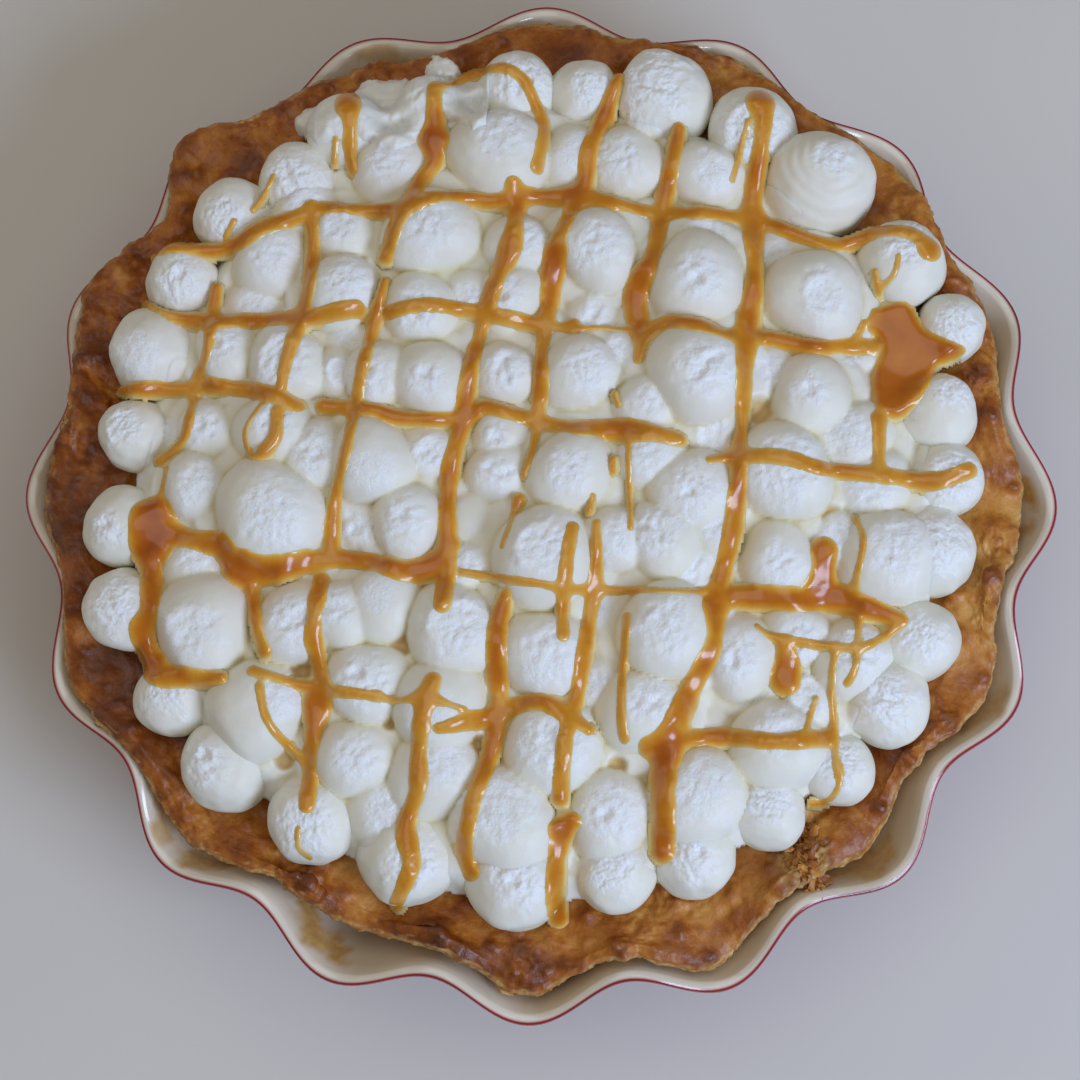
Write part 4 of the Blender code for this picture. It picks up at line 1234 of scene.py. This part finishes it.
# cream smeared over the crust and the dish's wall at the far left
smearSizes = {
    "centre": (-44, 100),
    "reach": 30.0,
    "spacing": 0.5,
    "fillet": 0.8,
    "margin": 0.9,
    "bridge": 3.6,
    "smoothing": 12,
    "cling": 2.0,
    "thin": 1.3,
    "swell": 0.10,
    "thickest": 2.6,
    "roundness": 0.6,
    "deep": 3.0,
    "below": 1.6,  # how far its underside sinks into what it lies on
    "thickness": 2.4,  # and where it bridges, how thick it is
    "frothy": 0.45,  # how white, against a torn tip's 1
    "strokes": (
        (9.0, ((-62, 97, 6), (-58, 101, 8), (-52, 103, 9), (-46, 104, 9), (-40, 105, 8), (-34, 107, 7),
               (-30, 109, 5), (-27, 112, 3.5), (-22, 109, 2.2))),
        (7.0, ((-27, 103), (-20, 106), (-15, 107))),
        (7.0, ((-45, 95), (-38, 93), (-33, 95), (-31, 98))),
        (6.5, ((-22, 100), (-17, 98), (-14, 100))),
        (9.0, ((-57, 96), (-50, 99), (-43, 100), (-36, 101), (-30, 104, 6))),
        (2.0, ((-30, 110), (-28, 114, 3), (-25, 113, 2))),
    ),
}


def makeSmear():
    field = pouredField(smearSizes)
    for width, points in smearSizes["strokes"]:
        field.addPath(np.array([(*slideToGround(x, y), wide) for x, y, wide in bentPath(points, width)]))
    inside, halves = field.finish()
    inside += field.sampled(lambda x, y: 1.3 * wobble(x, y, 0, 3.6) + 0.6 * wobble(x, y, 0, 1.3, 4))
    shape = drapedSheet(field, inside, halves, smearSizes)
    tip, creaseShade, gap = (shape.verts.layers.float.new(name) for name in ("tip", "creaseShade", "gap"))
    for corner in shape.verts:
        x, y, _ = corner.co / mm
        corner.co.z += mm * (0.35 * wobble(x, y, 0, 3.2, 6) + 0.18 * wobble(x, y, 0, 1.4, 5))
        corner[tip], corner[creaseShade], corner[gap] = smearSizes["frothy"], 0.0, 0.0
    return placePiece("creamSmear", shape, cream, "whipped_cream")


creamSmear = makeSmear()
ground = meshesTree(underDrizzle + [creamSmear])


def caramelSauce():
    # caramel thinned with cream and poured warm: clear amber where it is thin over the white,
    # deep orange brown where it gathers, with a wet shine
    material, tree, place = newFinish("poured caramel")
    depth = addNode(tree, "Attribute", attribute_name="depth")
    swirl = addNode(tree, "TexNoise", {"Vector": place, "Scale": 1 / (8 * mm), "Detail": 3.0})
    shift = addNode(tree, "Math", {0: swirl, 1: 0.5}, operation="SUBTRACT")
    mixed = addNode(tree, "Math", {0: shift, 1: 0.42, 2: depth}, operation="MULTIPLY_ADD")
    amber = addNode(tree, "ValToRGB", {"Fac": mixed}, stops=(
        (0.0, "#E0CC92"), (0.09, "#E0B866"), (0.22, "#DDA23E"), (0.38, "#D18C22"), (0.56, "#C16E12"),
        (0.78, "#A9540B"), (1.0, "#8C3F08")))
    return finished(material, {
        "Base Color": amber, "Roughness": 0.28, "IOR": 1.46, "Coat Weight": 0.25, "Coat Roughness": 0.07,
        "Subsurface Weight": 0.25, "Subsurface Scale": 2.0 * mm, "Subsurface Radius": (1.0, 0.6, 0.2)})


def makeDrizzle():
    field = drizzleField
    for number, (width, points) in enumerate(drizzleSizes["across"] + drizzleSizes["down"]):
        field.addPath(strandPath(width, points, number * 7.3))
    for x, y, radius in drizzleSizes["blobs"]:
        field.addPath([(*slideToGround(x, y), 2 * radius)])
    outline = drizzleSizes["poolOutline"]
    outline = [slideToGround(x, y) for x, y, _ in bentPath(outline + outline[:1], 1.0)[:-1]]
    field.addOutline(outline, drizzleSizes["poolHalf"])
    shape = drapedSheet(field, *field.finish(), drizzleSizes)
    return placePiece("caramelDrizzle", shape, caramelSauce(), "whipped_cream")


makeDrizzle()


# floor, lights and camera
def paleFloor():
    # matte studio sheet, with a faint unevenness so it doesn't read as a flat fill
    material, tree, place = newFinish("matte studio sheet")
    cloud = addNode(tree, "TexNoise", {"Vector": place, "Scale": 1 / (180 * mm), "Detail": 2.0})
    tone = addNode(tree, "ValToRGB", {"Fac": cloud}, stops=((0.3, "#D4D1CB"), (0.7, "#DAD7D2")))
    return finished(material, {"Base Color": tone, "Roughness": 0.85})


floorShape = bmesh.new()
bmesh.ops.create_grid(floorShape, x_segments=8, y_segments=8, size=4.0)
floor = newObject("floor", meshFrom(floorShape, "floor"))
floor.data.materials.append(paleFloor())

studio = {
    "window": {"place": (0.95, -0.75, 0.95), "size": 0.7, "power": 16.5, "colour": "#C8DCFF"},
    "ceiling": {"place": (0.1, 0.1, 1.6), "size": 1.4, "power": 6.2, "colour": "#F2F1F0"},
    "bounce": {"place": (-1.2, 0.5, 0.8), "size": 1.0, "power": 2.0, "colour": "#FFF2E0"},
}
for name, values in studio.items():
    light = bpy.data.lights.new(name, "AREA")
    light.shape, light.size, light.energy = "DISK", values["size"], values["power"]
    light.color = linear(values["colour"])[:3]
    lamp = newObject(name, light)
    lamp.location = values["place"]
    lamp.rotation_mode = "QUATERNION"
    lamp.rotation_quaternion = (Vector(values["place"]) - Vector((0, 0, 0.05))).to_track_quat("Z", "Y")

world = bpy.data.worlds.new("studio air")
world.use_nodes = True
air = world.node_tree.nodes["Background"].inputs
air["Color"].default_value, air["Strength"].default_value = linear("#E6DECE"), 0.21
bpy.context.scene.world = world
bpy.context.scene.view_settings.view_transform = "Standard"

cameraSizes = {
    "tilt": 10.0,  # degrees off straight down
    "azimuth": 283.9,
    "roll": 1.07,
    "distance": 780.0,
    "target": 60.0,
    "picture": 1080,  # points across
    "zoom": 2974.0,  # the lens in picture points
    "middle": (537.3, 500.0),  # picture point that the lens looks at
}
tilt, azimuth, roll = (math.radians(cameraSizes[name]) for name in ("tilt", "azimuth", "roll"))
back = Vector((math.sin(tilt) * math.cos(azimuth), math.sin(tilt) * math.sin(azimuth), math.cos(tilt)))
right = Vector((-math.sin(roll), math.cos(roll), 0.0)).cross(back).normalized()
cameraData = bpy.data.cameras.new("camera")
picture, (middleX, middleY) = cameraSizes["picture"], cameraSizes["middle"]
cameraData.sensor_width = 36
cameraData.lens = cameraSizes["zoom"] / picture * 36
cameraData.shift_x = (picture / 2 - middleX) / picture
cameraData.shift_y = -(picture / 2 - middleY) / picture
camera = newObject("camera", cameraData)
turned = Matrix((right, back.cross(right), back)).transposed().to_4x4()
turned.translation = Vector((0, 0, cameraSizes["target"] * mm)) + back * cameraSizes["distance"] * mm
camera.matrix_world = turned
bpy.context.scene.camera = camera
print("studio ready")
